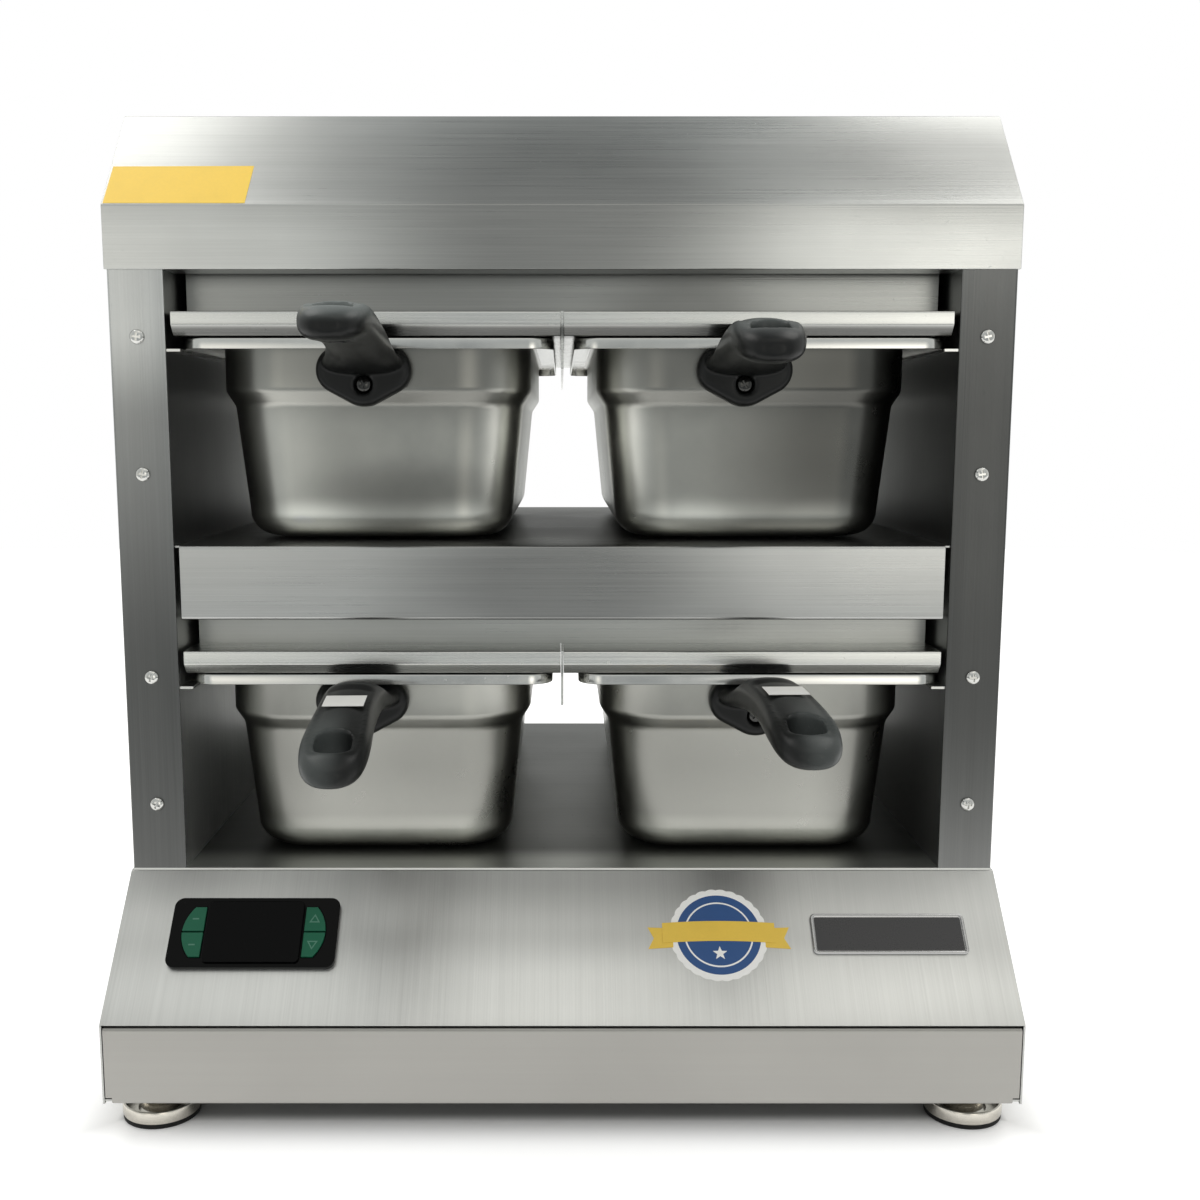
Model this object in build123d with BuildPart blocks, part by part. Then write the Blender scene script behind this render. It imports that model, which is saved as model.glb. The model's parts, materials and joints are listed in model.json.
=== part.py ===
from build123d import *
import os
from dataclasses import dataclass
from math import atan2, cos, degrees, radians, sin

os.makedirs("parts", exist_ok=True)

# A two-deck heated holding cabinet, open at the front and back, with four slide-in food pans.
# X runs to the right, Y away from the person using it and Z up, in millimetres.
# The origin is on the worktop, under the middle of the cabinet's outline.

# Sheet, fits and clearances
SHEET = 1.0
FIT = 0.3
BOLT_PLAY = 0.2

# Food pans, which set the size of both decks
PAN_WIDTH = 177.0
PAN_LENGTH = 327.0
PAN_HEIGHT = 96.0
PAN_WALL = 0.8
PAN_RIM_CORNER = 12.0
PAN_RIM_TURN = 5.0
PAN_RIM_OVERHANG = 11.5
PAN_RIM_ROUND = 0.6
PAN_BAND_CORNER = 36.0
PAN_BAND_DEPTH = 24.7
PAN_STEP_DEPTH = 6.0
PAN_STEP_INSET = 4.5
PAN_TAPER = 6.5
PAN_BOTTOM_RADIUS = 18.0

# Room around the pans
PAN_SIDE_GAP = 3.2
PAN_CENTRE_GAP = 11.2
PAN_SETBACK = 4.0
PAN_FOOT_GAP_LOWER = 0.3
PAN_FOOT_GAP_UPPER = 1.8
PAN_LID_GAP = 0.8

# Hot plates, their housings and the guides beside the pans
TRAY_HEIGHT = 11.3
TRAY_FACE = 6.3
TRAY_BEVEL_RUN = 4.0
TRAY_LIP_RUN = 28.0
TRAY_SIDE_GAP = 2.7
TRAY_CENTRE_GAP = 1.5
HOUSING_SETBACK = 27.0
HOUSING_SIDE_GAP = 3.5
RECESS_MID = 15.4
RECESS_TOP = 18.8
GUIDE_LEDGE = 6.5
GUIDE_WEB = 1.2
GUIDE_WEB_DROP = 9.5

# Decks, posts and roof
POST_WIDTH = 26.2
POST_RETURN = 10.0
SHELF_LIP = 35.7
SHELF_LIP_GAP = 2.5
SHELF_RETURN = 16.0
VISOR_HEIGHT = 29.0
ROOF_HEIGHT = 77.3
ROOF_RUN = 42.0
ROOF_RETURN = 19.0
ROOF_OVERLAP = 12.0

# Base
FOOT_HEIGHT = 20.0
BASE_HEIGHT = 95.0
BASE_LIP = 38.0
BASE_RUN = 56.5
BASE_RETURN = 7.0
LIP_NOTCH = 3.0

# Feet
FOOT_DIAMETER = 37.0
FOOT_PAD = 2.4
FOOT_CUP = 6.3
FOOT_CUP_WALL = 1.4
FOOT_HUB = 20.0
FOOT_INSET_X = 18.0
FOOT_INSET_Y = 31.5
FOOT_BOLT = 8.0
FOOT_BOLT_HEAD = 13.0
FOOT_BOLT_HEAD_HEIGHT = 4.0
FOOT_NUT_HEIGHT = 6.5
FOOT_BOLT_END = 4.0

# Post screws, counted from the lower deck's surface
POST_SCREW_HEIGHTS = (32.5, 95.7, 193.5, 257.5)
SCREW_HEAD = 7.0
SCREW_HEAD_HEIGHT = 2.2
SCREW_SHANK = 4.0
SCREW_LENGTH = 8.0
SCREW_SLOT = 0.9
SCREW_SLOT_DEPTH = 1.1

# Pan handles
HANDLE_FAN_WIDTH = 46.0
HANDLE_FAN_DROP = 27.0
HANDLE_FAN_SHOULDER = 8.5
HANDLE_FAN_TIP = 12.0
HANDLE_FAN_THICKNESS = 8.0
HANDLE_FAN_ROUND = 2.8
HANDLE_RIM_GAP = 0.6
HANDLE_SCREW_DROP = 16.5
HANDLE_SCREW = 4.0
HANDLE_SCREW_HEAD = 8.4
HANDLE_SCREW_RECESS = 3.0
HANDLE_NUT = 6.2
HANDLE_NUT_HEIGHT = 2.5
HANDLE_HOLE_REACH = 120.0
HANDLE_HOLE_LENGTH = 20.0
HANDLE_HOLE_WIDTH = 15.0
# Reach from the pan wall, top and underside above the rim's lower edge, and width
HANDLE_STATIONS = (
    (3.0, -0.8, -11.5, 36.0),
    (15.0, -0.4, -11.0, 33.0),
    (36.0, 8.5, -9.0, 28.0),
    (76.0, 11.0, -7.5, 27.0),
    (112.0, 8.5, -9.5, 29.0),
    (130.0, 3.0, -11.5, 26.0),
    (138.0, -2.0, -9.5, 15.0),
)

# Temperature controller on the base's slope
PANEL_DROP = 34.2
CONTROLLER_X = -147.4
CONTROLLER_WIDTH = 80.0
CONTROLLER_HEIGHT = 35.5
CONTROLLER_CORNER = 4.5
CONTROLLER_BEZEL = 2.6
CONTROLLER_CUT_WIDTH = 71.0
CONTROLLER_CUT_HEIGHT = 29.0
CONTROLLER_DEPTH = 55.0
WINDOW_WIDTH = 46.0
WINDOW_HEIGHT = 31.0
WINDOW_THICKNESS = 1.3
KEY_INNER = 23.9
KEY_OUTER_MID = 34.4
KEY_OUTER_END = 29.5
KEY_HALF_HEIGHT = 12.8
KEY_SPLIT = 0.5
KEY_FLOOR = 0.9
KEY_PROUD = 0.6
CLIP_WIDTH = 3.4
CLIP_HEIGHT = 12.0
CLIP_REACH = 9.0

# Blank badge plate on the base's slope
BADGE_X = 156.4
BADGE_WIDTH = 74.0
BADGE_HEIGHT = 20.5
BADGE_THICKNESS = 1.5
BADGE_RIM = 1.2
BADGE_FIELD_DEPTH = 0.4

# Heaters, insulation and electrical parts
HEATER_THICKNESS = 3.0
HEATER_MARGIN = 12.0
BASE_INSULATION = 15.0
INLET_X = 150.0
INLET_Z = 42.0
INLET_FLANGE_WIDTH = 50.0
INLET_FLANGE_HEIGHT = 24.0
INLET_FLANGE = 2.5
INLET_WIDTH = 27.0
INLET_HEIGHT = 19.5
INLET_DEPTH = 18.0
INLET_WELL = 14.0
INLET_PIN_PITCH = 7.0
VENT_COUNT = 9
VENT_PITCH = 22.0
VENT_WIDTH = 4.0
VENT_HEIGHT = 30.0
TERMINAL_X = 60.0
TERMINAL_WIDTH = 62.0
TERMINAL_DEPTH = 18.0
TERMINAL_HEIGHT = 17.0
TERMINAL_WAYS = 6
RELAY_X = -60.0
RELAY_WIDTH = 45.0
RELAY_DEPTH = 58.0
RELAY_HEIGHT = 28.0
CUTOUT_DIAMETER = 24.0
CUTOUT_HEIGHT = 10.0
CUTOUT_EARS = 38.0
PROBE_DIAMETER = 5.0
PROBE_LENGTH = 45.0

# The farthest reaches ahead of the post face and behind the rear posts
NOSE_REACH = HANDLE_STATIONS[-1][0] - PAN_SETBACK - PAN_RIM_OVERHANG
REAR_REACH = INLET_FLANGE

# Widths worked out from the pans
OPENING_HALF = PAN_SIDE_GAP + PAN_WIDTH + PAN_CENTRE_GAP / 2
CASE_HALF = OPENING_HALF + POST_WIDTH
SKIN_HALF = CASE_HALF + SHEET
PAN_X = (PAN_CENTRE_GAP + PAN_WIDTH) / 2
HOUSING_HALF = OPENING_HALF - HOUSING_SIDE_GAP
TRAY_INNER = TRAY_CENTRE_GAP / 2
TRAY_OUTER = OPENING_HALF - TRAY_SIDE_GAP

# Depths worked out from the pans
CASE_DEPTH = PAN_LENGTH + 2 * PAN_SETBACK
FRONT = (NOSE_REACH - CASE_DEPTH - REAR_REACH) / 2
REAR = FRONT + CASE_DEPTH
MIDDLE = (FRONT + REAR) / 2
LIP_Y = FRONT - BASE_RUN
HOUSING_FRONT = FRONT + HOUSING_SETBACK
HOUSING_REAR = REAR - HOUSING_SETBACK

# Heights worked out from the pans
BASE_BOTTOM = FOOT_HEIGHT
LIP_TOP = BASE_BOTTOM + BASE_LIP
FLOOR = BASE_BOTTOM + BASE_HEIGHT
BASE_TOP = FLOOR - SHEET


@dataclass(frozen=True)
class Deck:
    """One of the two heated surfaces and the heights of what stands over it.

    Attributes:
        name: Lower or upper, as used in the piece names.
        surface: Height of the heated surface.
        foot_gap: Air between the surface and a pan's bottom.
    """

    name: str
    surface: float
    foot_gap: float

    @property
    def rim_top(self) -> float:
        """Height of the pans' rims."""
        return self.surface + self.foot_gap + PAN_HEIGHT

    @property
    def tray_bottom(self) -> float:
        """Height of the hot plates' flat undersides."""
        return self.rim_top + PAN_LID_GAP

    @property
    def tray_top(self) -> float:
        """Height of the hot plates' top flanges."""
        return self.tray_bottom + TRAY_HEIGHT


LOWER = Deck("lower", FLOOR, PAN_FOOT_GAP_LOWER)
SHELF_BOTTOM = LOWER.tray_top + RECESS_MID
SHELF_TOP = SHELF_BOTTOM + SHELF_LIP
UPPER = Deck("upper", SHELF_TOP, PAN_FOOT_GAP_UPPER)
VISOR_BOTTOM = UPPER.tray_top + RECESS_TOP
VISOR_TOP = VISOR_BOTTOM + VISOR_HEIGHT
ROOF_TOP = VISOR_BOTTOM + ROOF_HEIGHT
CEILING = VISOR_BOTTOM + ROOF_OVERLAP

# The sloped panel: its own X is the cabinet's, its Y runs up the slope, its Z points out
SLOPE_DROP = BASE_TOP - LIP_TOP
SLOPE_NORMAL = (0, -SLOPE_DROP, BASE_RUN)


@dataclass(frozen=True)
class Slot:
    """One pan's place in the cabinet and how its handle sits.

    Attributes:
        name: Which deck and side, as used in the piece names.
        side: -1 on the left, 1 on the right.
        deck: The deck that the pan stands on.
        drift: How far the pan stands to the right of its bay's middle.
        shift: How far the handle stands to the right of the pan's middle.
        yaw: Turn of the handle's arm to the right, in degrees.
        lift: Tilt of the handle's arm upward, in degrees.
    """

    name: str
    side: int
    deck: Deck
    drift: float
    shift: float
    yaw: float
    lift: float

    @property
    def centre_x(self) -> float:
        """X of the pan's middle."""
        return self.side * PAN_X + self.drift

    @property
    def rim_top(self) -> float:
        """Height of the pan's rim."""
        return self.deck.rim_top

    @property
    def wall_y(self) -> float:
        """Y of the outside of the pan's front wall."""
        return FRONT + PAN_SETBACK + PAN_RIM_OVERHANG


SLOTS = (
    Slot("upper_left", -1, UPPER, 1.5, -2.2, 2.4, 3.0),
    Slot("upper_right", 1, UPPER, 0.0, -7.0, -2.7, -0.7),
    Slot("lower_left", -1, LOWER, 0.8, -5.5, 2.3, -3.7),
    Slot("lower_right", 1, LOWER, 2.4, -0.9, 2.0, -0.3),
)


def block(x0, x1, y0, y1, z0, z1, mode=Mode.ADD):
    """Add or cut a box between two corners."""
    with Locations(((x0 + x1) / 2, (y0 + y1) / 2, (z0 + z1) / 2)):
        Box(x1 - x0, y1 - y0, z1 - z0, mode=mode)


def outline(points, x=0.0, wall=0.0):
    """Face in the Y-Z plane at x, left as a strip of the given wall when one is asked for."""
    with BuildSketch(Plane.YZ.offset(x)) as sketch:
        with BuildLine():
            Polyline(*points, close=True)
        make_face()
        if wall:
            offset(amount=-wall, kind=Kind.INTERSECTION, mode=Mode.SUBTRACT)
    return sketch.sketch


def slope_plane(x, down, out=0.0):
    """Plane on the sloped panel at x, a distance down from its top edge and out from it."""
    top = Plane(origin=(x, FRONT, BASE_TOP), x_dir=(1, 0, 0), z_dir=SLOPE_NORMAL)
    return top.offset(out).shift_origin(top.offset(out).from_local_coords((0, -down, 0)))


def key_face(plane, side, half, grow=0.0):
    """Face of one controller key: half of a bow-shaped pad beside the window."""
    inner = side * (KEY_INNER - grow)
    middle = side * (KEY_OUTER_MID + grow)
    end = side * (KEY_OUTER_END + grow)
    near = half * (KEY_SPLIT / 2 - grow)
    far = half * (KEY_HALF_HEIGHT + grow)
    bulge = side * (KEY_OUTER_MID - (KEY_OUTER_MID - KEY_OUTER_END) / 4 + grow)
    with BuildSketch(plane) as face:
        with BuildLine():
            Line((inner, near), (middle, near))
            ThreePointArc((middle, near), (bulge, (near + far) / 2), (end, far))
            Line((end, far), (inner, far))
            Line((inner, far), (inner, near))
        make_face()
    return face.sketch


def pan_core(slot, inset):
    """Solid of a pan's bowl, drawn in all round by inset."""
    band_width = PAN_WIDTH - 2 * (PAN_RIM_OVERHANG + inset)
    band_length = PAN_LENGTH - 2 * (PAN_RIM_OVERHANG + inset)
    step_width = band_width - 2 * PAN_STEP_INSET
    step_length = band_length - 2 * PAN_STEP_INSET
    corner = PAN_BAND_CORNER - inset
    lower_height = PAN_HEIGHT - PAN_BAND_DEPTH - PAN_STEP_DEPTH
    rim = Plane(origin=(slot.centre_x, MIDDLE, slot.rim_top))
    step_top = rim.offset(-PAN_BAND_DEPTH)
    step_bottom = step_top.offset(-PAN_STEP_DEPTH)
    with BuildPart() as core:
        with BuildSketch(rim):
            RectangleRounded(band_width, band_length, corner)
        extrude(amount=-PAN_BAND_DEPTH)
        with BuildSketch(step_top):
            RectangleRounded(band_width, band_length, corner)
        extrude(amount=-PAN_STEP_DEPTH, taper=degrees(atan2(PAN_STEP_INSET, PAN_STEP_DEPTH)))
        with BuildSketch(step_bottom):
            RectangleRounded(step_width, step_length, corner - PAN_STEP_INSET)
        extrude(amount=inset - lower_height, taper=degrees(atan2(PAN_TAPER, lower_height)))
        fillet(core.faces().sort_by(Axis.Z)[0].edges(), PAN_BOTTOM_RADIUS - inset)
    return core.part


def build_pan(slot):
    """Thin pressed pan: flat rim with a turned-down edge, a stacking step and a rounded bottom."""
    outer = pan_core(slot, 0.0)
    inner = pan_core(slot, PAN_WALL)
    rim = Plane(origin=(slot.centre_x, MIDDLE, slot.rim_top))
    with BuildPart() as pan:
        with BuildSketch(rim):
            RectangleRounded(PAN_WIDTH, PAN_LENGTH, PAN_RIM_CORNER)
        extrude(amount=-PAN_RIM_TURN)
        with BuildSketch(rim.offset(-PAN_WALL)):
            RectangleRounded(PAN_WIDTH - 2 * PAN_WALL, PAN_LENGTH - 2 * PAN_WALL, PAN_RIM_CORNER - PAN_WALL)
        extrude(amount=-PAN_RIM_TURN, mode=Mode.SUBTRACT)
        fillet(pan.faces().sort_by(Axis.Z)[-1].edges(), PAN_RIM_ROUND)
        add(outer)
        add(inner, mode=Mode.SUBTRACT)
        # Hole in the front wall for the handle's screw
        screw_z = slot.rim_top - PAN_RIM_TURN - HANDLE_SCREW_DROP
        with BuildSketch(Plane(origin=(slot.centre_x + slot.shift, slot.wall_y, screw_z), z_dir=(0, -1, 0))):
            Circle(HANDLE_SCREW / 2 + BOLT_PLAY)
        extrude(amount=2 * PAN_WALL, both=True, mode=Mode.SUBTRACT)
    return pan


def build_handle(slot):
    """Moulded handle: a fan-shaped foot on the pan's wall and an arm with a hanging hole."""
    x = slot.centre_x + slot.shift
    edge = slot.rim_top - PAN_RIM_TURN
    ahead = Vector(
        sin(radians(slot.yaw)) * cos(radians(slot.lift)),
        -cos(radians(slot.yaw)) * cos(radians(slot.lift)),
        sin(radians(slot.lift)),
    )
    across = Vector(cos(radians(slot.yaw)), sin(radians(slot.yaw)), 0)
    upward = ahead.cross(across)
    root = Vector(x, slot.wall_y, edge)
    wall = Plane(origin=root, x_dir=(1, 0, 0), z_dir=(0, -1, 0))
    shoulder_x = HANDLE_FAN_WIDTH / 2 - HANDLE_FAN_SHOULDER
    with BuildPart() as handle:
        with BuildSketch(wall):
            with Locations(
                (-shoulder_x, -HANDLE_RIM_GAP - HANDLE_FAN_SHOULDER),
                (shoulder_x, -HANDLE_RIM_GAP - HANDLE_FAN_SHOULDER),
            ):
                Circle(HANDLE_FAN_SHOULDER)
            with Locations((0, HANDLE_FAN_TIP - HANDLE_FAN_DROP)):
                Circle(HANDLE_FAN_TIP)
            make_hull()
        extrude(amount=HANDLE_FAN_THICKNESS)
        fillet(handle.faces().sort_by(Axis.Y)[0].edges(), HANDLE_FAN_ROUND)
        for reach, top, under, width in HANDLE_STATIONS:
            middle = root + ahead * reach + upward * ((top + under) / 2)
            with BuildSketch(Plane(origin=middle, x_dir=across, z_dir=ahead)):
                Ellipse(width / 2, (top - under) / 2)
        loft()
        hole = root + ahead * HANDLE_HOLE_REACH
        with BuildSketch(Plane(origin=hole, x_dir=across, z_dir=upward)):
            SlotOverall(HANDLE_HOLE_LENGTH, HANDLE_HOLE_WIDTH, rotation=90)
        extrude(amount=HANDLE_FAN_DROP, both=True, mode=Mode.SUBTRACT)
        with BuildSketch(wall.offset(HANDLE_FAN_THICKNESS)):
            with Locations((0, -HANDLE_SCREW_DROP)):
                Circle(HANDLE_SCREW_HEAD / 2 + FIT)
        extrude(amount=-HANDLE_SCREW_RECESS, mode=Mode.SUBTRACT)
        with BuildSketch(wall):
            with Locations((0, -HANDLE_SCREW_DROP)):
                Circle(HANDLE_SCREW / 2 + BOLT_PLAY)
        extrude(amount=HANDLE_FAN_THICKNESS, mode=Mode.SUBTRACT)
        # The arm passes under the rim, so nothing of it reaches into the rim's space
        block(
            x - HANDLE_FAN_WIDTH,
            x + HANDLE_FAN_WIDTH,
            slot.wall_y - PAN_RIM_OVERHANG - HANDLE_RIM_GAP,
            slot.wall_y,
            edge - HANDLE_RIM_GAP,
            edge + PAN_RIM_TURN,
            mode=Mode.SUBTRACT,
        )
    return handle


def build_handle_screw(slot):
    """Screw through the handle's foot and the pan's wall, and its low round nut inside."""
    z = slot.rim_top - PAN_RIM_TURN - HANDLE_SCREW_DROP
    seat_y = slot.wall_y - HANDLE_FAN_THICKNESS + HANDLE_SCREW_RECESS
    seat = Plane(origin=(slot.centre_x + slot.shift, seat_y, z), z_dir=(0, -1, 0))
    grip = HANDLE_FAN_THICKNESS - HANDLE_SCREW_RECESS + PAN_WALL
    with BuildPart() as screw:
        with BuildSketch(seat):
            Circle(HANDLE_SCREW_HEAD / 2)
        extrude(amount=HANDLE_SCREW_RECESS - FIT)
        with BuildSketch(seat):
            Circle(HANDLE_SCREW / 2)
        extrude(amount=-grip - HANDLE_NUT_HEIGHT)
        with BuildSketch(seat.offset(HANDLE_SCREW_RECESS - FIT)):
            Rectangle(HANDLE_SCREW, SCREW_SLOT)
            Rectangle(SCREW_SLOT, HANDLE_SCREW)
        extrude(amount=-SCREW_SLOT_DEPTH, mode=Mode.SUBTRACT)
        with BuildSketch(seat.offset(-grip)):
            Circle(HANDLE_NUT / 2)
            Circle(HANDLE_SCREW / 2 + BOLT_PLAY / 4, mode=Mode.SUBTRACT)
        extrude(amount=-HANDLE_NUT_HEIGHT + FIT)
    return screw


def build_hot_plate(side, deck):
    """Shallow folded tray over one pan: flat plate, bevelled lips and top flanges."""
    bottom = deck.tray_bottom
    top = deck.tray_top
    crease = top - TRAY_FACE
    near, far = FRONT, REAR
    x0 = min(side * TRAY_INNER, side * TRAY_OUTER)
    x1 = max(side * TRAY_INNER, side * TRAY_OUTER)
    strip = outline(
        (
            (near, top),
            (near, crease),
            (near + TRAY_BEVEL_RUN, bottom),
            (far - TRAY_BEVEL_RUN, bottom),
            (far, crease),
            (far, top),
        ),
        x=x0,
        wall=SHEET,
    )
    with BuildPart() as plate:
        extrude(strip, amount=x1 - x0)
        for wall_x in (x0, x1 - SHEET):
            block(
                wall_x,
                wall_x + SHEET,
                near + TRAY_LIP_RUN,
                far - TRAY_LIP_RUN,
                bottom,
                top,
            )
        block(
            x0 + SHEET,
            x1 - SHEET,
            near + TRAY_LIP_RUN,
            far - TRAY_LIP_RUN,
            top - SHEET,
            top,
            mode=Mode.SUBTRACT,
        )
    return plate


def build_plate_heaters(deck):
    """Two flat heating elements, one lying in each hot plate of a deck."""
    bottom = deck.tray_bottom + SHEET
    with BuildPart() as heaters:
        for side in (-1, 1):
            edges = sorted((side * (TRAY_INNER + HEATER_MARGIN), side * (TRAY_OUTER - HEATER_MARGIN)))
            block(
                edges[0],
                edges[1],
                HOUSING_FRONT + HEATER_MARGIN,
                HOUSING_REAR - HEATER_MARGIN,
                bottom,
                bottom + HEATER_THICKNESS,
            )
    return heaters


def build_guides(deck):
    """Side ledges under the rims' outer edges, and the thin web between the two pans."""
    rim_bottom = deck.rim_top - PAN_RIM_TURN
    ledge_top = rim_bottom - FIT
    web_top = deck.tray_top
    with BuildPart() as guides:
        for side in (-1, 1):
            inner, outer = sorted((side * (OPENING_HALF - GUIDE_LEDGE), side * OPENING_HALF))
            block(inner, outer, FRONT + SHEET, REAR - SHEET, ledge_top - GUIDE_WEB, ledge_top)
        block(
            -GUIDE_WEB / 2,
            GUIDE_WEB / 2,
            FRONT + SHEET,
            REAR - SHEET,
            rim_bottom - GUIDE_WEB_DROP,
            web_top,
        )
    return guides


def build_housing(bottom, top):
    """Rectangular sleeve that closes the space between the hot plates and what is above."""
    with BuildPart() as housing:
        block(-HOUSING_HALF, HOUSING_HALF, HOUSING_FRONT, HOUSING_REAR, bottom, top)
        block(
            SHEET - HOUSING_HALF,
            HOUSING_HALF - SHEET,
            HOUSING_FRONT + SHEET,
            HOUSING_REAR - SHEET,
            bottom,
            top,
            mode=Mode.SUBTRACT,
        )
    return housing


def build_slab(half_width, front, rear, bottom, top):
    """Plain rectangular slab, centred across the cabinet."""
    with BuildPart() as slab:
        block(-half_width, half_width, front, rear, bottom, top)
    return slab


# Base casing: lip, slope and side cheeks folded from one sheet
casing_points = (
    (LIP_Y, BASE_BOTTOM),
    (LIP_Y, LIP_TOP),
    (FRONT, BASE_TOP),
    (REAR, BASE_TOP),
    (REAR, BASE_BOTTOM),
)
with BuildPart() as base_casing:
    extrude(outline(casing_points, wall=SHEET), amount=SKIN_HALF, both=True)
    for side in (-1, 1):
        extrude(outline(casing_points, x=side * SKIN_HALF), amount=-side * SHEET)
    # Open at the top, where the floor plate lies, at the rear and underneath
    block(
        POST_WIDTH - SKIN_HALF,
        SKIN_HALF - POST_WIDTH,
        FRONT + POST_RETURN,
        REAR,
        LIP_TOP,
        BASE_TOP,
        mode=Mode.SUBTRACT,
    )
    block(-CASE_HALF, CASE_HALF, REAR - SHEET, REAR, BASE_BOTTOM, BASE_TOP, mode=Mode.SUBTRACT)
    block(
        BASE_RETURN - SKIN_HALF,
        SKIN_HALF - BASE_RETURN,
        LIP_Y + BASE_RETURN,
        REAR,
        BASE_BOTTOM,
        BASE_BOTTOM + SHEET,
        mode=Mode.SUBTRACT,
    )
    # Relief notches at the lip's lower corners
    for side in (-1, 1):
        notch = sorted((side * (CASE_HALF - LIP_NOTCH), side * CASE_HALF))
        block(
            notch[0],
            notch[1],
            LIP_Y,
            LIP_Y + SHEET,
            BASE_BOTTOM,
            BASE_BOTTOM + LIP_NOTCH,
            mode=Mode.SUBTRACT,
        )
    # Cut-out for the temperature controller
    with BuildSketch(slope_plane(CONTROLLER_X, PANEL_DROP)):
        Rectangle(CONTROLLER_CUT_WIDTH, CONTROLLER_CUT_HEIGHT)
    extrude(amount=3 * SHEET, both=True, mode=Mode.SUBTRACT)
base_casing.part.label = "base_casing"
export_step(base_casing.part, "parts/base_casing.step")

foot_places = [
    (side * (SKIN_HALF - FOOT_INSET_X), y)
    for side in (-1, 1)
    for y in (LIP_Y + FOOT_INSET_Y, REAR - FOOT_INSET_Y)
]
PLATE_BOTTOM = BASE_BOTTOM + SHEET
PLATE_TOP = PLATE_BOTTOM + SHEET

with BuildPart() as base_bottom_plate:
    block(-CASE_HALF, CASE_HALF, LIP_Y + SHEET, REAR - SHEET, PLATE_BOTTOM, PLATE_TOP)
    with Locations(*[(x, y, PLATE_BOTTOM) for x, y in foot_places]):
        Cylinder(FOOT_BOLT / 2 + BOLT_PLAY, 4 * SHEET, mode=Mode.SUBTRACT)
base_bottom_plate.part.label = "base_bottom_plate"
export_step(base_bottom_plate.part, "parts/base_bottom_plate.step")

with BuildPart() as base_rear_panel:
    block(-CASE_HALF, CASE_HALF, REAR - SHEET, REAR, BASE_BOTTOM, BASE_TOP)
    vent_z = (BASE_BOTTOM + BASE_TOP) / 2
    with Locations((INLET_X - VENT_COUNT * VENT_PITCH, REAR, vent_z)):
        with GridLocations(VENT_PITCH, VENT_HEIGHT, VENT_COUNT, 1):
            Box(VENT_WIDTH, 4 * SHEET, VENT_HEIGHT, mode=Mode.SUBTRACT)
    with Locations((INLET_X, REAR, BASE_BOTTOM + INLET_Z)):
        Box(INLET_WIDTH + FIT, 4 * SHEET, INLET_HEIGHT + FIT, mode=Mode.SUBTRACT)
base_rear_panel.part.label = "base_rear_panel"
export_step(base_rear_panel.part, "parts/base_rear_panel.step")

with BuildPart() as power_inlet:
    inlet_z = BASE_BOTTOM + INLET_Z
    with Locations((INLET_X, REAR + INLET_FLANGE / 2, inlet_z)):
        Box(INLET_FLANGE_WIDTH, INLET_FLANGE, INLET_FLANGE_HEIGHT)
    with Locations((INLET_X, REAR - INLET_DEPTH / 2, inlet_z)):
        Box(INLET_WIDTH, INLET_DEPTH, INLET_HEIGHT)
    with Locations((INLET_X, REAR + INLET_FLANGE - INLET_WELL / 2, inlet_z)):
        Box(INLET_WIDTH - 4 * SHEET, INLET_WELL, INLET_HEIGHT - 4 * SHEET, mode=Mode.SUBTRACT)
    with Locations(
        (INLET_X - INLET_PIN_PITCH, REAR - INLET_WELL / 2, inlet_z - SHEET),
        (INLET_X, REAR - INLET_WELL / 2, inlet_z + 2 * SHEET),
        (INLET_X + INLET_PIN_PITCH, REAR - INLET_WELL / 2, inlet_z - SHEET),
    ):
        Box(2 * SHEET, INLET_WELL - SHEET, 4 * SHEET)
power_inlet.part.label = "power_inlet"
export_step(power_inlet.part, "parts/power_inlet.step")

# Feet: rubber pad, steel cup with a hub, and the bolt and nut that hold it
with BuildPart() as foot_pads:
    with Locations(*[(x, y, FOOT_PAD / 2) for x, y in foot_places]):
        Cylinder(FOOT_DIAMETER / 2 - FIT, FOOT_PAD)
foot_pads.part.label = "foot_pads"
export_step(foot_pads.part, "parts/foot_pads.step")

CUP_TOP = FOOT_PAD + FOOT_CUP
HEAD_TOP = FOOT_PAD + FOOT_BOLT_HEAD_HEIGHT
with BuildPart() as foot_cups:
    with Locations(*[(x, y, (FOOT_PAD + CUP_TOP) / 2) for x, y in foot_places]):
        Cylinder(FOOT_DIAMETER / 2, FOOT_CUP)
    with Locations(*[(x, y, CUP_TOP) for x, y in foot_places]):
        Cylinder(FOOT_DIAMETER / 2 - FOOT_CUP_WALL, 2 * (FOOT_CUP - FOOT_CUP_WALL), mode=Mode.SUBTRACT)
    with Locations(*[(x, y, (FOOT_PAD + PLATE_BOTTOM) / 2) for x, y in foot_places]):
        Cylinder(FOOT_HUB / 2, PLATE_BOTTOM - FOOT_PAD)
        Cylinder(FOOT_BOLT / 2 + BOLT_PLAY, PLATE_BOTTOM - FOOT_PAD, mode=Mode.SUBTRACT)
    with Locations(*[(x, y, (FOOT_PAD + HEAD_TOP) / 2) for x, y in foot_places]):
        Cylinder(FOOT_BOLT_HEAD / 2 + BOLT_PLAY, FOOT_BOLT_HEAD_HEIGHT, mode=Mode.SUBTRACT)
foot_cups.part.label = "foot_cups"
export_step(foot_cups.part, "parts/foot_cups.step")

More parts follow.
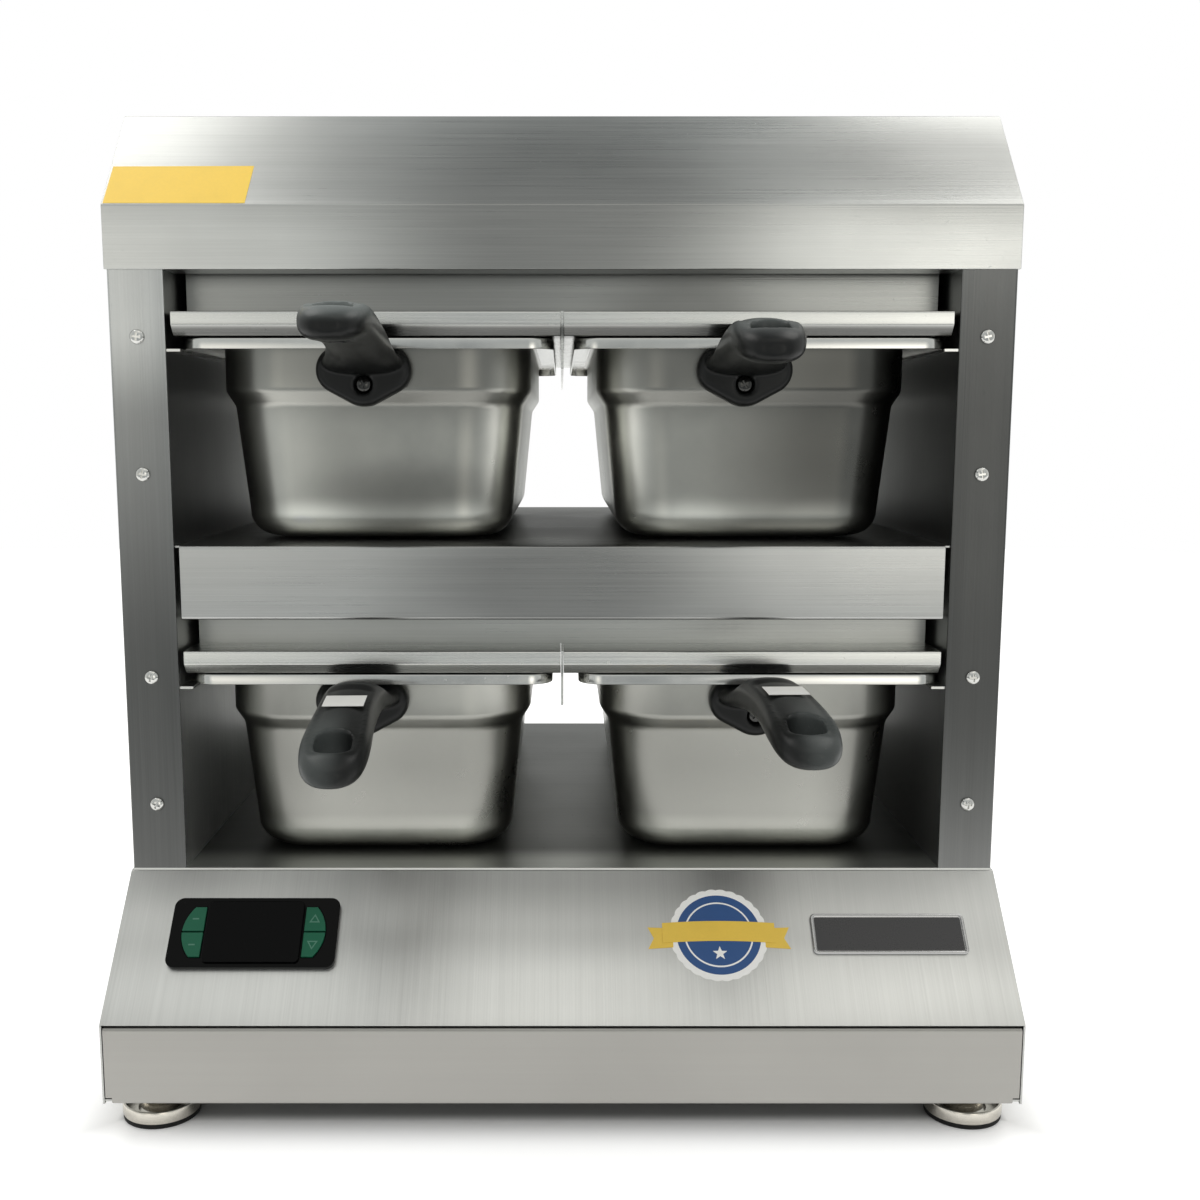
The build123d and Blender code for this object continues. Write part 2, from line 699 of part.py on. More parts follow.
NUT_TOP = PLATE_TOP + FOOT_NUT_HEIGHT
BOLT_TOP = NUT_TOP + FOOT_BOLT_END
with BuildPart() as foot_bolts:
    with Locations(*[(x, y, (FOOT_PAD + HEAD_TOP) / 2) for x, y in foot_places]):
        Cylinder(FOOT_BOLT_HEAD / 2, FOOT_BOLT_HEAD_HEIGHT)
    with Locations(*[(x, y, (FOOT_PAD + BOLT_TOP) / 2) for x, y in foot_places]):
        Cylinder(FOOT_BOLT / 2, BOLT_TOP - FOOT_PAD)
    with BuildSketch(Plane.XY.offset(PLATE_TOP)):
        with Locations(*foot_places):
            RegularPolygon(FOOT_BOLT_HEAD / 2, 6)
            Circle(FOOT_BOLT / 2 + BOLT_PLAY / 4, mode=Mode.SUBTRACT)
    extrude(amount=FOOT_NUT_HEIGHT)
foot_bolts.part.label = "foot_bolts"
export_step(foot_bolts.part, "parts/foot_bolts.step")

# Lower deck
floor_plate = build_slab(CASE_HALF, FRONT, REAR, BASE_TOP, FLOOR)
floor_plate.part.label = "floor_plate"
export_step(floor_plate.part, "parts/floor_plate.step")

HEATER_HALF = OPENING_HALF - HEATER_MARGIN
HEATER_FRONT = HOUSING_FRONT + HEATER_MARGIN
HEATER_REAR = HOUSING_REAR - HEATER_MARGIN
FLOOR_HEATER_BOTTOM = BASE_TOP - HEATER_THICKNESS
floor_heater = build_slab(HEATER_HALF, HEATER_FRONT, HEATER_REAR, FLOOR_HEATER_BOTTOM, BASE_TOP)
floor_heater.part.label = "floor_heater"
export_step(floor_heater.part, "parts/floor_heater.step")

FLOOR_WOOL_BOTTOM = FLOOR_HEATER_BOTTOM - BASE_INSULATION
floor_insulation = build_slab(HEATER_HALF, HEATER_FRONT, HEATER_REAR, FLOOR_WOOL_BOTTOM, FLOOR_HEATER_BOTTOM)
floor_insulation.part.label = "floor_insulation"
export_step(floor_insulation.part, "parts/floor_insulation.step")

# Electrical parts on the bottom plate
with BuildPart() as terminal_block:
    block(
        TERMINAL_X - TERMINAL_WIDTH / 2,
        TERMINAL_X + TERMINAL_WIDTH / 2,
        MIDDLE - TERMINAL_DEPTH / 2,
        MIDDLE + TERMINAL_DEPTH / 2,
        PLATE_TOP,
        PLATE_TOP + TERMINAL_HEIGHT,
    )
    with Locations((TERMINAL_X, MIDDLE, PLATE_TOP + TERMINAL_HEIGHT)):
        with GridLocations(TERMINAL_WIDTH / TERMINAL_WAYS, TERMINAL_DEPTH, TERMINAL_WAYS, 1):
            Cylinder(SCREW_HEAD / 2, TERMINAL_DEPTH, mode=Mode.SUBTRACT)
terminal_block.part.label = "terminal_block"
export_step(terminal_block.part, "parts/terminal_block.step")

with BuildPart() as heater_relay:
    block(
        RELAY_X - RELAY_WIDTH / 2,
        RELAY_X + RELAY_WIDTH / 2,
        MIDDLE - RELAY_DEPTH / 2,
        MIDDLE + RELAY_DEPTH / 2,
        PLATE_TOP,
        PLATE_TOP + RELAY_HEIGHT,
    )
    for end in (-1, 1):
        y = MIDDLE + end * RELAY_DEPTH / 2
        with Locations((RELAY_X, y, PLATE_TOP + RELAY_HEIGHT)):
            Box(RELAY_WIDTH, RELAY_DEPTH / 3, RELAY_HEIGHT / 2, mode=Mode.SUBTRACT)
heater_relay.part.label = "heater_relay"
export_step(heater_relay.part, "parts/heater_relay.step")

with BuildPart() as thermal_cutout:
    with Locations((0, MIDDLE, FLOOR_WOOL_BOTTOM - CUTOUT_HEIGHT / 2)):
        Cylinder(CUTOUT_DIAMETER / 2, CUTOUT_HEIGHT)
        Box(CUTOUT_EARS, CUTOUT_HEIGHT, CUTOUT_HEIGHT / 4)
thermal_cutout.part.label = "thermal_cutout"
export_step(thermal_cutout.part, "parts/thermal_cutout.step")

with BuildPart() as temperature_probe:
    probe_x = HEATER_HALF + PROBE_DIAMETER
    with Locations((probe_x, MIDDLE, BASE_TOP - PROBE_DIAMETER / 2)):
        Cylinder(PROBE_DIAMETER / 2, PROBE_LENGTH, rotation=(90, 0, 0))
temperature_probe.part.label = "temperature_probe"
export_step(temperature_probe.part, "parts/temperature_probe.step")

# Side walls: an outer channel whose faces are the posts, a liner and the insulation between
front_screws = [
    (side * (OPENING_HALF + POST_WIDTH / 2), FLOOR + height)
    for side in (-1, 1)
    for height in POST_SCREW_HEIGHTS
]
for side, side_name in ((-1, "left"), (1, "right")):
    skin = sorted((side * (CASE_HALF - SHEET), side * CASE_HALF))
    face = sorted((side * OPENING_HALF, side * CASE_HALF))
    lining = sorted((side * OPENING_HALF, side * (OPENING_HALF + SHEET)))
    hook = sorted((side * (OPENING_HALF + SHEET), side * (OPENING_HALF + 2 * SHEET)))
    with BuildPart() as side_panel:
        block(*skin, FRONT, REAR, FLOOR, CEILING)
        block(*face, FRONT, FRONT + SHEET, FLOOR, CEILING)
        block(*face, REAR - SHEET, REAR, FLOOR, CEILING)
        block(*hook, FRONT, FRONT + POST_RETURN, FLOOR, CEILING)
        block(*hook, REAR - POST_RETURN, REAR, FLOOR, CEILING)
        for screw_height in POST_SCREW_HEIGHTS:
            screw_x = side * (OPENING_HALF + POST_WIDTH / 2)
            with Locations(Location((screw_x, MIDDLE, FLOOR + screw_height), (90, 0, 0))):
                Cylinder(SCREW_SHANK / 2 + BOLT_PLAY, 2 * CASE_DEPTH, mode=Mode.SUBTRACT)
    side_panel.part.label = f"side_panel_{side_name}"
    export_step(side_panel.part, f"parts/side_panel_{side_name}.step")
    with BuildPart() as side_liner:
        block(*lining, FRONT + SHEET, REAR - SHEET, FLOOR, CEILING)
    side_liner.part.label = f"side_liner_{side_name}"
    export_step(side_liner.part, f"parts/side_liner_{side_name}.step")

with BuildPart() as side_insulation:
    for side in (-1, 1):
        wool = sorted((side * (OPENING_HALF + 2 * SHEET), side * (CASE_HALF - SHEET)))
        block(*wool, FRONT + POST_RETURN, REAR - POST_RETURN, FLOOR, CEILING)
side_insulation.part.label = "side_insulation"
export_step(side_insulation.part, "parts/side_insulation.step")

# One round-headed screw with a cross slot, its head's underside at the origin
with BuildPart() as post_screw:
    Cone(SCREW_HEAD / 2, SCREW_HEAD / 3, SCREW_HEAD_HEIGHT, align=(Align.CENTER, Align.CENTER, Align.MIN))
    Cylinder(SCREW_SHANK / 2, SCREW_LENGTH, align=(Align.CENTER, Align.CENTER, Align.MAX))
    with Locations((0, 0, SCREW_HEAD_HEIGHT)):
        Box(SCREW_HEAD / 2, SCREW_SLOT, 2 * SCREW_SLOT_DEPTH, mode=Mode.SUBTRACT)
        Box(SCREW_SLOT, SCREW_HEAD / 2, 2 * SCREW_SLOT_DEPTH, mode=Mode.SUBTRACT)

screw_places = [
    Location((screw_x, post_y, screw_z), (turn, 0, 0))
    for screw_x, screw_z in front_screws
    for post_y, turn in ((FRONT, 90), (REAR, -90))
]
with BuildPart() as post_screws:
    with Locations(*screw_places):
        add(post_screw.part)
post_screws.part.label = "post_screws"
export_step(post_screws.part, "parts/post_screws.step")

# Middle shelf: deck plate with deep lips front and rear, turned back underneath
shelf_strip = outline(
    (
        (FRONT, SHELF_BOTTOM),
        (FRONT, SHELF_TOP),
        (REAR, SHELF_TOP),
        (REAR, SHELF_BOTTOM),
    ),
    wall=SHEET,
)
with BuildPart() as mid_shelf:
    extrude(shelf_strip, amount=OPENING_HALF, both=True)
    block(
        -OPENING_HALF,
        OPENING_HALF,
        FRONT + SHELF_RETURN,
        REAR - SHELF_RETURN,
        SHELF_BOTTOM,
        SHELF_BOTTOM + SHEET,
        mode=Mode.SUBTRACT,
    )
    for side in (-1, 1):
        end = sorted((side * (OPENING_HALF - SHELF_LIP_GAP), side * OPENING_HALF))
        block(*end, FRONT, REAR, SHELF_BOTTOM, SHELF_TOP - SHEET, mode=Mode.SUBTRACT)
mid_shelf.part.label = "mid_shelf"
export_step(mid_shelf.part, "parts/mid_shelf.step")

MID_HEATER_TOP = SHELF_TOP - SHEET
MID_HEATER_BOTTOM = MID_HEATER_TOP - HEATER_THICKNESS

mid_housing = build_housing(LOWER.tray_top, MID_HEATER_TOP)
mid_housing.part.label = "mid_housing"
export_step(mid_housing.part, "parts/mid_housing.step")

mid_deck_heater = build_slab(HEATER_HALF, HEATER_FRONT, HEATER_REAR, MID_HEATER_BOTTOM, MID_HEATER_TOP)
mid_deck_heater.part.label = "mid_deck_heater"
export_step(mid_deck_heater.part, "parts/mid_deck_heater.step")

WOOL_HALF = HOUSING_HALF - SHEET
WOOL_FRONT = HOUSING_FRONT + SHEET
WOOL_REAR = HOUSING_REAR - SHEET
mid_insulation = build_slab(WOOL_HALF, WOOL_FRONT, WOOL_REAR, LOWER.tray_top, MID_HEATER_BOTTOM)
mid_insulation.part.label = "mid_insulation"
export_step(mid_insulation.part, "parts/mid_insulation.step")

top_housing = build_housing(UPPER.tray_top, CEILING)
top_housing.part.label = "top_housing"
export_step(top_housing.part, "parts/top_housing.step")

top_insulation = build_slab(WOOL_HALF, WOOL_FRONT, WOOL_REAR, UPPER.tray_top, CEILING)
top_insulation.part.label = "top_insulation"
export_step(top_insulation.part, "parts/top_insulation.step")

for deck in (LOWER, UPPER):
    for side, side_name in ((-1, "left"), (1, "right")):
        hot_plate = build_hot_plate(side, deck)
        hot_plate.part.label = f"hot_plate_{deck.name}_{side_name}"
        export_step(hot_plate.part, f"parts/hot_plate_{deck.name}_{side_name}.step")
    plate_heaters = build_plate_heaters(deck)
    plate_heaters.part.label = f"plate_heaters_{deck.name}"
    export_step(plate_heaters.part, f"parts/plate_heaters_{deck.name}.step")
    guides = build_guides(deck)
    guides.part.label = f"pan_guides_{deck.name}"
    export_step(guides.part, f"parts/pan_guides_{deck.name}.step")

# Roof: a ceiling plate on the side walls, and the folded cover over it
ceiling_plate = build_slab(CASE_HALF, FRONT, REAR, CEILING, CEILING + SHEET)
ceiling_plate.part.label = "ceiling_plate"
export_step(ceiling_plate.part, "parts/ceiling_plate.step")

roof_points = (
    (FRONT - SHEET, VISOR_BOTTOM),
    (FRONT - SHEET, VISOR_TOP),
    (FRONT - SHEET + ROOF_RUN, ROOF_TOP),
    (REAR + SHEET, ROOF_TOP),
    (REAR + SHEET, VISOR_BOTTOM),
)
with BuildPart() as roof_cover:
    extrude(outline(roof_points, wall=SHEET), amount=SKIN_HALF, both=True)
    for side in (-1, 1):
        extrude(outline(roof_points, x=side * SKIN_HALF), amount=-side * SHEET)
    # Only the front and rear return flanges stay of the bottom, between the posts
    block(
        -CASE_HALF,
        CASE_HALF,
        FRONT + ROOF_RETURN,
        REAR - ROOF_RETURN,
        VISOR_BOTTOM,
        VISOR_BOTTOM + SHEET,
        mode=Mode.SUBTRACT,
    )
    for side in (-1, 1):
        post = sorted((side * OPENING_HALF, side * CASE_HALF))
        block(*post, FRONT, REAR, VISOR_BOTTOM, VISOR_BOTTOM + SHEET, mode=Mode.SUBTRACT)
roof_cover.part.label = "roof_cover"
export_step(roof_cover.part, "parts/roof_cover.step")

# Temperature controller
controller_face = slope_plane(CONTROLLER_X, PANEL_DROP)
KEY_SPOTS = (
    ("key_left_upper", -1, 1),
    ("key_left_lower", -1, -1),
    ("key_right_upper", 1, 1),
    ("key_right_lower", 1, -1),
)
with BuildPart() as controller_bezel:
    with BuildSketch(controller_face):
        RectangleRounded(CONTROLLER_WIDTH, CONTROLLER_HEIGHT, CONTROLLER_CORNER)
    extrude(amount=CONTROLLER_BEZEL)
    for _, side, half in KEY_SPOTS:
        key_well = key_face(controller_face, side, half, grow=FIT / 2)
        extrude(key_well, amount=CONTROLLER_BEZEL, mode=Mode.SUBTRACT)
controller_bezel.part.label = "controller_bezel"
export_step(controller_bezel.part, "parts/controller_bezel.step")

for key_name, side, half in KEY_SPOTS:
    key_pad = key_face(controller_face.offset(KEY_FLOOR), side, half, grow=-FIT / 2)
    with BuildPart() as controller_key:
        extrude(key_pad, amount=CONTROLLER_BEZEL + KEY_PROUD - KEY_FLOOR)
    controller_key.part.label = key_name
    export_step(controller_key.part, f"parts/{key_name}.step")

with BuildPart() as controller_window:
    with BuildSketch(controller_face.offset(CONTROLLER_BEZEL)):
        RectangleRounded(WINDOW_WIDTH, WINDOW_HEIGHT, CONTROLLER_CORNER / 2)
    extrude(amount=WINDOW_THICKNESS)
controller_window.part.label = "controller_window"
export_step(controller_window.part, "parts/controller_window.step")

with BuildPart() as controller_body:
    with BuildSketch(controller_face):
        Rectangle(CONTROLLER_CUT_WIDTH - 2 * FIT, CONTROLLER_CUT_HEIGHT - 2 * FIT)
    extrude(amount=-CONTROLLER_DEPTH)
controller_body.part.label = "controller_body"
export_step(controller_body.part, "parts/controller_body.step")

with BuildPart() as controller_clips:
    with BuildSketch(controller_face.offset(-SHEET)):
        with Locations(
            (-(CONTROLLER_CUT_WIDTH + CLIP_WIDTH) / 2 + FIT, 0),
            ((CONTROLLER_CUT_WIDTH + CLIP_WIDTH) / 2 - FIT, 0),
        ):
            Rectangle(CLIP_WIDTH, CLIP_HEIGHT)
    extrude(amount=-CLIP_REACH)
controller_clips.part.label = "controller_clips"
export_step(controller_clips.part, "parts/controller_clips.step")

# Badge plate with a plain sunk field
badge_face = slope_plane(BADGE_X, PANEL_DROP)
with BuildPart() as badge_plate:
    with BuildSketch(badge_face):
        RectangleRounded(BADGE_WIDTH, BADGE_HEIGHT, 2 * BADGE_RIM)
    extrude(amount=BADGE_THICKNESS)
    with BuildSketch(badge_face.offset(BADGE_THICKNESS)):
        RectangleRounded(BADGE_WIDTH - 2 * BADGE_RIM, BADGE_HEIGHT - 2 * BADGE_RIM, BADGE_RIM)
    extrude(amount=-BADGE_FIELD_DEPTH, mode=Mode.SUBTRACT)
badge_plate.part.label = "badge_plate"
export_step(badge_plate.part, "parts/badge_plate.step")

# Pans, each with its handle and screw
for slot in SLOTS:
    pan = build_pan(slot)
    pan.part.label = f"pan_{slot.name}"
    export_step(pan.part, f"parts/pan_{slot.name}.step")
    handle = build_handle(slot)
    handle.part.label = f"handle_{slot.name}"
    export_step(handle.part, f"parts/handle_{slot.name}.step")
    handle_screw = build_handle_screw(slot)
    handle_screw.part.label = f"handle_screw_{slot.name}"
    export_step(handle_screw.part, f"parts/handle_screw_{slot.name}.step")
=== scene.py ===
"""Looks of a two-deck heated holding cabinet with four food pans, in the cabinet's own frame."""

from __future__ import annotations

import json
import logging
import math
from dataclasses import dataclass
from enum import Enum
from typing import Any, Callable, Optional, Sequence

import bmesh
import bpy
from mathutils import Matrix, Vector

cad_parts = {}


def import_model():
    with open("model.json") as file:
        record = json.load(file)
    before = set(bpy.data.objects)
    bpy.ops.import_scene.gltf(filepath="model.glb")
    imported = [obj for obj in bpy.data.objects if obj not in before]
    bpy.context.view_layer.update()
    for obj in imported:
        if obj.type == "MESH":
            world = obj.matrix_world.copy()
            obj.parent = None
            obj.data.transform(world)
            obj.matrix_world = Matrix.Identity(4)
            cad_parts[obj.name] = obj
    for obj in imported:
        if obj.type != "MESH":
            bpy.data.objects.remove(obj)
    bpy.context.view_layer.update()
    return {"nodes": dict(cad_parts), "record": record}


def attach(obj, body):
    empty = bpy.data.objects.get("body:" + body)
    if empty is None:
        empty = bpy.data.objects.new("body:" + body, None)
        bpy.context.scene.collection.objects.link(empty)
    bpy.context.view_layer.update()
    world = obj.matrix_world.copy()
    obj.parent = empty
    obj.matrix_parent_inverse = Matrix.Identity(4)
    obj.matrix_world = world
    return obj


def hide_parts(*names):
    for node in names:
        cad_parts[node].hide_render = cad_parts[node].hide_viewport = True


LOG = logging.getLogger("holding_cabinet")
MM = 0.001
Point = tuple[float, float]
Triple = tuple[float, float, float]
Quad = tuple[float, float, float, float]
Colour = Triple
# Middle and reach of a soft patch of painted light and shade, in millimetres, and how far it darkens or
# lightens the colour
Patch = tuple[Triple, Triple, float]
# Share of a patch's reach over which it has its full tone
PATCH_CORE = 0.25
# Edges that turn by more than this are rounded and shaded as edges
SHARP = math.radians(35.0)
# Noises, as features to the metre, detail and roughness
SMUDGES = (9.0, 4.0, 0.55)
SPECKS = (420.0, 2.0, 0.5)
RUBBING = (28.0, 3.0, 0.5)
DUST = (900.0, 1.0, 0.5)
SOIL = (60.0, 3.0, 0.5)
FLOOR_FIBRES = (300.0, 2.0, 0.5)
PAPER_FIBRES = ((700.0, 900.0, 700.0), 4.0, 0.6)
WOOL_FIBRES = ((260.0, 260.0, 900.0), 6.0, 0.7)

# Sizes of the cabinet that several pieces share, in millimetres
SHEET = 1.0
FRONT = -107.5
REAR = 227.5
MIDDLE = 60.0
OPENING_HALF = 185.8
CASE_HALF = 212.0
SKIN_HALF = 213.0
BASE_BOTTOM = 20.0
LIP_TOP = 58.0
BASE_TOP = 114.0
FLOOR = 115.0
LIP_Y = -164.0
SHELF_BOTTOM = 238.8
SHELF_TOP = 274.5
VISOR_BOTTOM = 403.2
VISOR_TOP = 432.2
ROOF_TOP = 480.5
ROOF_RUN = 42.0
CEILING = 415.2
PAN_X = 94.1
WALL_Y = -92.0
# Left and right
SIDES = (-1.0, 1.0)
# How far a cutting tool stands past what it cuts
CLEAR = 2.0


class Grain(Enum):
    """Direction of the brushing in a steel sheet, as the stretch of its noise along X, Y and Z."""

    ALONG_X = (9.0, 1300.0, 1300.0)
    ALONG_Y = (1300.0, 9.0, 1300.0)
    ALONG_Z = (1300.0, 1300.0, 9.0)
    DOWN_SLOPE = (1300.0, 9.0, 9.0)
    CLOUDY = (60.0, 60.0, 60.0)


class Ray(Enum):
    """Kind of light ray, as its output on the Light Path node."""

    CAMERA = 0
    GLOSSY = 3
    GLASS = 6


class Value:
    """A socket of a node tree that takes part in Python expressions."""

    def __init__(self, graph: Graph, socket: bpy.types.NodeSocket) -> None:
        """Keep the socket and the tree it belongs to."""
        self.graph = graph
        self.socket = socket

    def _math(self, operation: str, left: Any, right: Any) -> Value:
        """Add one Math node and give its result."""
        return self.graph.node("ShaderNodeMath", {"operation": operation}, {0: left, 1: right})

    def __add__(self, other: Any) -> Value:
        """Sum with a number or a value."""
        return self._math("ADD", self, other)

    def __radd__(self, other: Any) -> Value:
        """Sum with a number on the left."""
        return self._math("ADD", other, self)

    def __sub__(self, other: Any) -> Value:
        """Difference from a number or a value."""
        return self._math("SUBTRACT", self, other)

    def __rsub__(self, other: Any) -> Value:
        """Difference of a number on the left."""
        return self._math("SUBTRACT", other, self)

    def __mul__(self, other: Any) -> Value:
        """Product with a number or a value."""
        return self._math("MULTIPLY", self, other)

    def __rmul__(self, other: Any) -> Value:
        """Product with a number on the left."""
        return self._math("MULTIPLY", other, self)

    def exponential(self) -> Value:
        """Raise Euler's number to this value."""
        return self._math("EXPONENT", self, 0.0)

    def at_most(self, limit: Any) -> Value:
        """Keep the smaller of this value and a limit."""
        return self._math("MINIMUM", self, limit)

    def at_least(self, limit: Any) -> Value:
        """Keep the larger of this value and a limit."""
        return self._math("MAXIMUM", self, limit)


class Graph:
    """A node tree, built with one call for each node."""

    def __init__(self, tree: bpy.types.NodeTree) -> None:
        """Start from an emptied tree."""
        self.tree = tree
        tree.nodes.clear()

    def node(
        self,
        kind: str,
        settings: Optional[dict[str, Any]] = None,
        inputs: Optional[dict[Any, Any]] = None,
        output: int = 0,
    ) -> Value:
        """Add a node.

        Args:
            kind: Type name of the node.
            settings: Properties of the node.
            inputs: Values or links of its sockets, by name or number.
            output: Number of the output socket that is wanted.

        Returns:
            The wanted output.
        """
        node = self.tree.nodes.new(kind)
        for key, setting in (settings or {}).items():
            setattr(node, key, setting)
        for key, value in (inputs or {}).items():
            if isinstance(value, Value):
                self.tree.links.new(value.socket, node.inputs[key])
            else:
                node.inputs[key].default_value = value
        return Value(self, node.outputs[output] if node.outputs else None)

    def place(self) -> Value:
        """Give the position on the object, in metres from the cabinet's origin."""
        return self.node("ShaderNodeTexCoord", output=3)

    def ray(self, kind: Ray) -> Value:
        """Give 1 for rays of a kind, and 0 for the rest."""
        return self.node("ShaderNodeLightPath", output=kind.value)

    def stretched(self, middle: Triple, reach: Triple) -> Value:
        """Give the position from a middle, in steps of a reach in millimetres along each axis.

        Args:
            middle: Where the position is counted from.
            reach: Length of one step along each axis.

        Returns:
            The stretched position.
        """
        scale = tuple(1.0 / (part * MM) for part in reach)
        shift = tuple(-centre / part for centre, part in zip(middle, reach))
        inputs = {"Vector": self.place(), "Scale": scale, "Location": shift}
        return self.node("ShaderNodeMapping", {}, inputs)

    def noise(self, scale: float | Triple, detail: float, rough: float) -> Value:
        """Add noise whose features are as long as the inverse of the scale, in metres.

        Args:
            scale: Features to the metre, the same all ways or one number for each axis.
            detail: Number of finer layers.
            rough: Weight of the finer layers.

        Returns:
            The noise, from 0 to 1.
        """
        if not isinstance(scale, tuple):
            scale = (scale,) * 3
        spot = self.node("ShaderNodeMapping", {}, {"Vector": self.place(), "Scale": scale})
        inputs = {"Vector": spot, "Scale": 1.0, "Detail": detail, "Roughness": rough}
        return self.node("ShaderNodeTexNoise", {}, inputs)

    def vector(self, operation: str, inputs: dict[int, Any], output: int = 0) -> Value:
        """Add one Vector Math node and give its vector, or its number as output 1."""
        return self.node("ShaderNodeVectorMath", {"operation": operation}, inputs, output)

    def mix(self, factor: Any, low: Any, high: Any, blend: str = "MIX") -> Value:
        """Mix or blend two colours."""
        settings = {"data_type": "RGBA", "blend_type": blend}
        return self.node("ShaderNodeMix", settings, {0: factor, 6: low, 7: high}, 2)

    def patched(self, colour: Value, patches: Sequence[Patch]) -> Value:
        """Paint light and shade into a colour: darken or lighten it softly round places on the object.

        Args:
            colour: The colour.
            patches: The places with their factors.

        Returns:
            The patched colour.
        """
        for centre, reach, factor in patches:
            away = self.vector("LENGTH", {0: self.stretched(centre, reach)}, 1)
            near = self.spread(away, PATCH_CORE, 1.0, 1.0, 0.0, smooth=True)
            colour = self.mix(near, colour, grey(factor), "MULTIPLY")
        return colour

    def spread(
        self, value: Value, low: float, high: float, to_low: float, to_high: float, smooth: bool = False
    ) -> Value:
        """Map one range of a value to another, held at its ends and eased there when smooth.

        Args:
            value: The value.
            low: Start of its range.
            high: End of its range.
            to_low: Result at the start.
            to_high: Result at the end.
            smooth: Whether the ends are eased.

        Returns:
            The mapped value.
        """
        inputs = {"Value": value, "From Min": low, "From Max": high, "To Min": to_low, "To Max": to_high}
        settings = {"interpolation_type": "SMOOTHSTEP" if smooth else "LINEAR"}
        return self.node("ShaderNodeMapRange", settings, inputs)

    def bump(
        self, height: Value, strength: float, distance: float, normal: Optional[Value] = None
    ) -> Value:
        """Add a bump from a height, on top of another normal when one is given.

        Args:
            height: The height.
            strength: Share of the bump that shows.
            distance: What a height of 1 stands for, in metres.
            normal: The normal underneath.

        Returns:
            The bumped normal.
        """
        inputs: dict[str, Any] = {"Height": height, "Strength": strength, "Distance": distance}
        if normal is not None:
            inputs["Normal"] = normal
        return self.node("ShaderNodeBump", {}, inputs)


def rgba(colour: Colour) -> Quad:
    """Add full opacity to a colour."""
    return (*colour, 1.0)


def grey(level: float) -> Quad:
    """Give a neutral tone."""
    return rgba((level,) * 3)


def shade(colour: Colour, factor: float) -> Quad:
    """Give a lighter or darker version of a colour."""
    return rgba(tuple(min(1.0, part * factor) for part in colour))


MADE: dict[str, bpy.types.Material] = {}


@dataclass(frozen=True)
class Finish:
    """What every finish has: a name, a colour and a roughness.

    Attributes:
        name: Name of the material.
        colour: Base colour.
        roughness: Middle of its roughness.
    """

    name: str
    colour: Colour
    roughness: float

    def fill(self, graph: Graph) -> dict[str, Any]:
        """Give the sockets of the shader that this finish sets."""
        return {"Base Color": rgba(self.colour), "Roughness": self.roughness}

    def material(self) -> bpy.types.Material:
        """Make the material, or give the one already made.

        Returns:
            The material.
        """
        if self.name in MADE:
            return MADE[self.name]
        made = bpy.data.materials.new(self.name)
        MADE[self.name] = made
        made.use_nodes = True
        graph = Graph(made.node_tree)
        shader = graph.node("ShaderNodeBsdfPrincipled", {}, self.fill(graph))
        graph.node("ShaderNodeOutputMaterial", {}, {"Surface": shader})
        made.diffuse_color = rgba(self.colour)
        return made


@dataclass(frozen=True)
class Steel(Finish):
    """Stainless sheet with brushing, smudges and fine wear.

    Attributes:
        grain: Direction of the brushing.
        contrast: How far the brushing lightens and darkens the colour.
        depth: Height of the brushing's bump.
        cloud: How far large soft patches change the roughness.
        patches: Places where light and shade are painted into the sheet's colour: painted reflections,
            highlights and shade.
        edge: How strongly the sheet mirrors at a glancing angle.
    """

    grain: Grain = Grain.ALONG_X
    contrast: float = 0.10
    depth: float = 0.12
    cloud: float = 0.08
    patches: tuple[Patch, ...] = ()
    edge: float = 1.0

    def fill(self, graph: Graph) -> dict[str, Any]:
        """Give brushed streaks, smudges, a few stray scratches and the painted light and shade of the
        patches.

        Args:
            graph: Tree of the material.

        Returns:
            The shader's sockets by name.
        """
        streaks = graph.noise(self.grain.value, 4.0, 0.65)
        broad = graph.noise(tuple(part * 0.22 for part in self.grain.value), 2.0, 0.5)
        smudges = graph.noise(*SMUDGES)
        scratches = graph.spread(graph.noise(*SPECKS), 0.70, 0.80, 0.0, 1.0)
        brushing = graph.spread(streaks * 0.7 + broad * 0.3, 0.36, 0.64, 0.0, 1.0)
        dark, light = (shade(self.colour, 1.0 + side * self.contrast) for side in SIDES)
        stain = graph.spread(smudges, 0.45, 0.75, 0.0, 0.35)
        stained = graph.mix(stain, graph.mix(brushing, dark, light), shade(self.colour, 0.86))
        roughness = (smudges - 0.5) * (2.0 * self.cloud) + (streaks - 0.5) * 0.16 + self.roughness
        return {
            "Base Color": graph.patched(stained, self.patches),
            "Specular Tint": grey(self.edge),
            "Metallic": 1.0,
            "Roughness": (roughness + scratches * 0.12).at_least(0.08),
            "Normal": graph.bump(streaks, self.depth, 0.0004),
        }


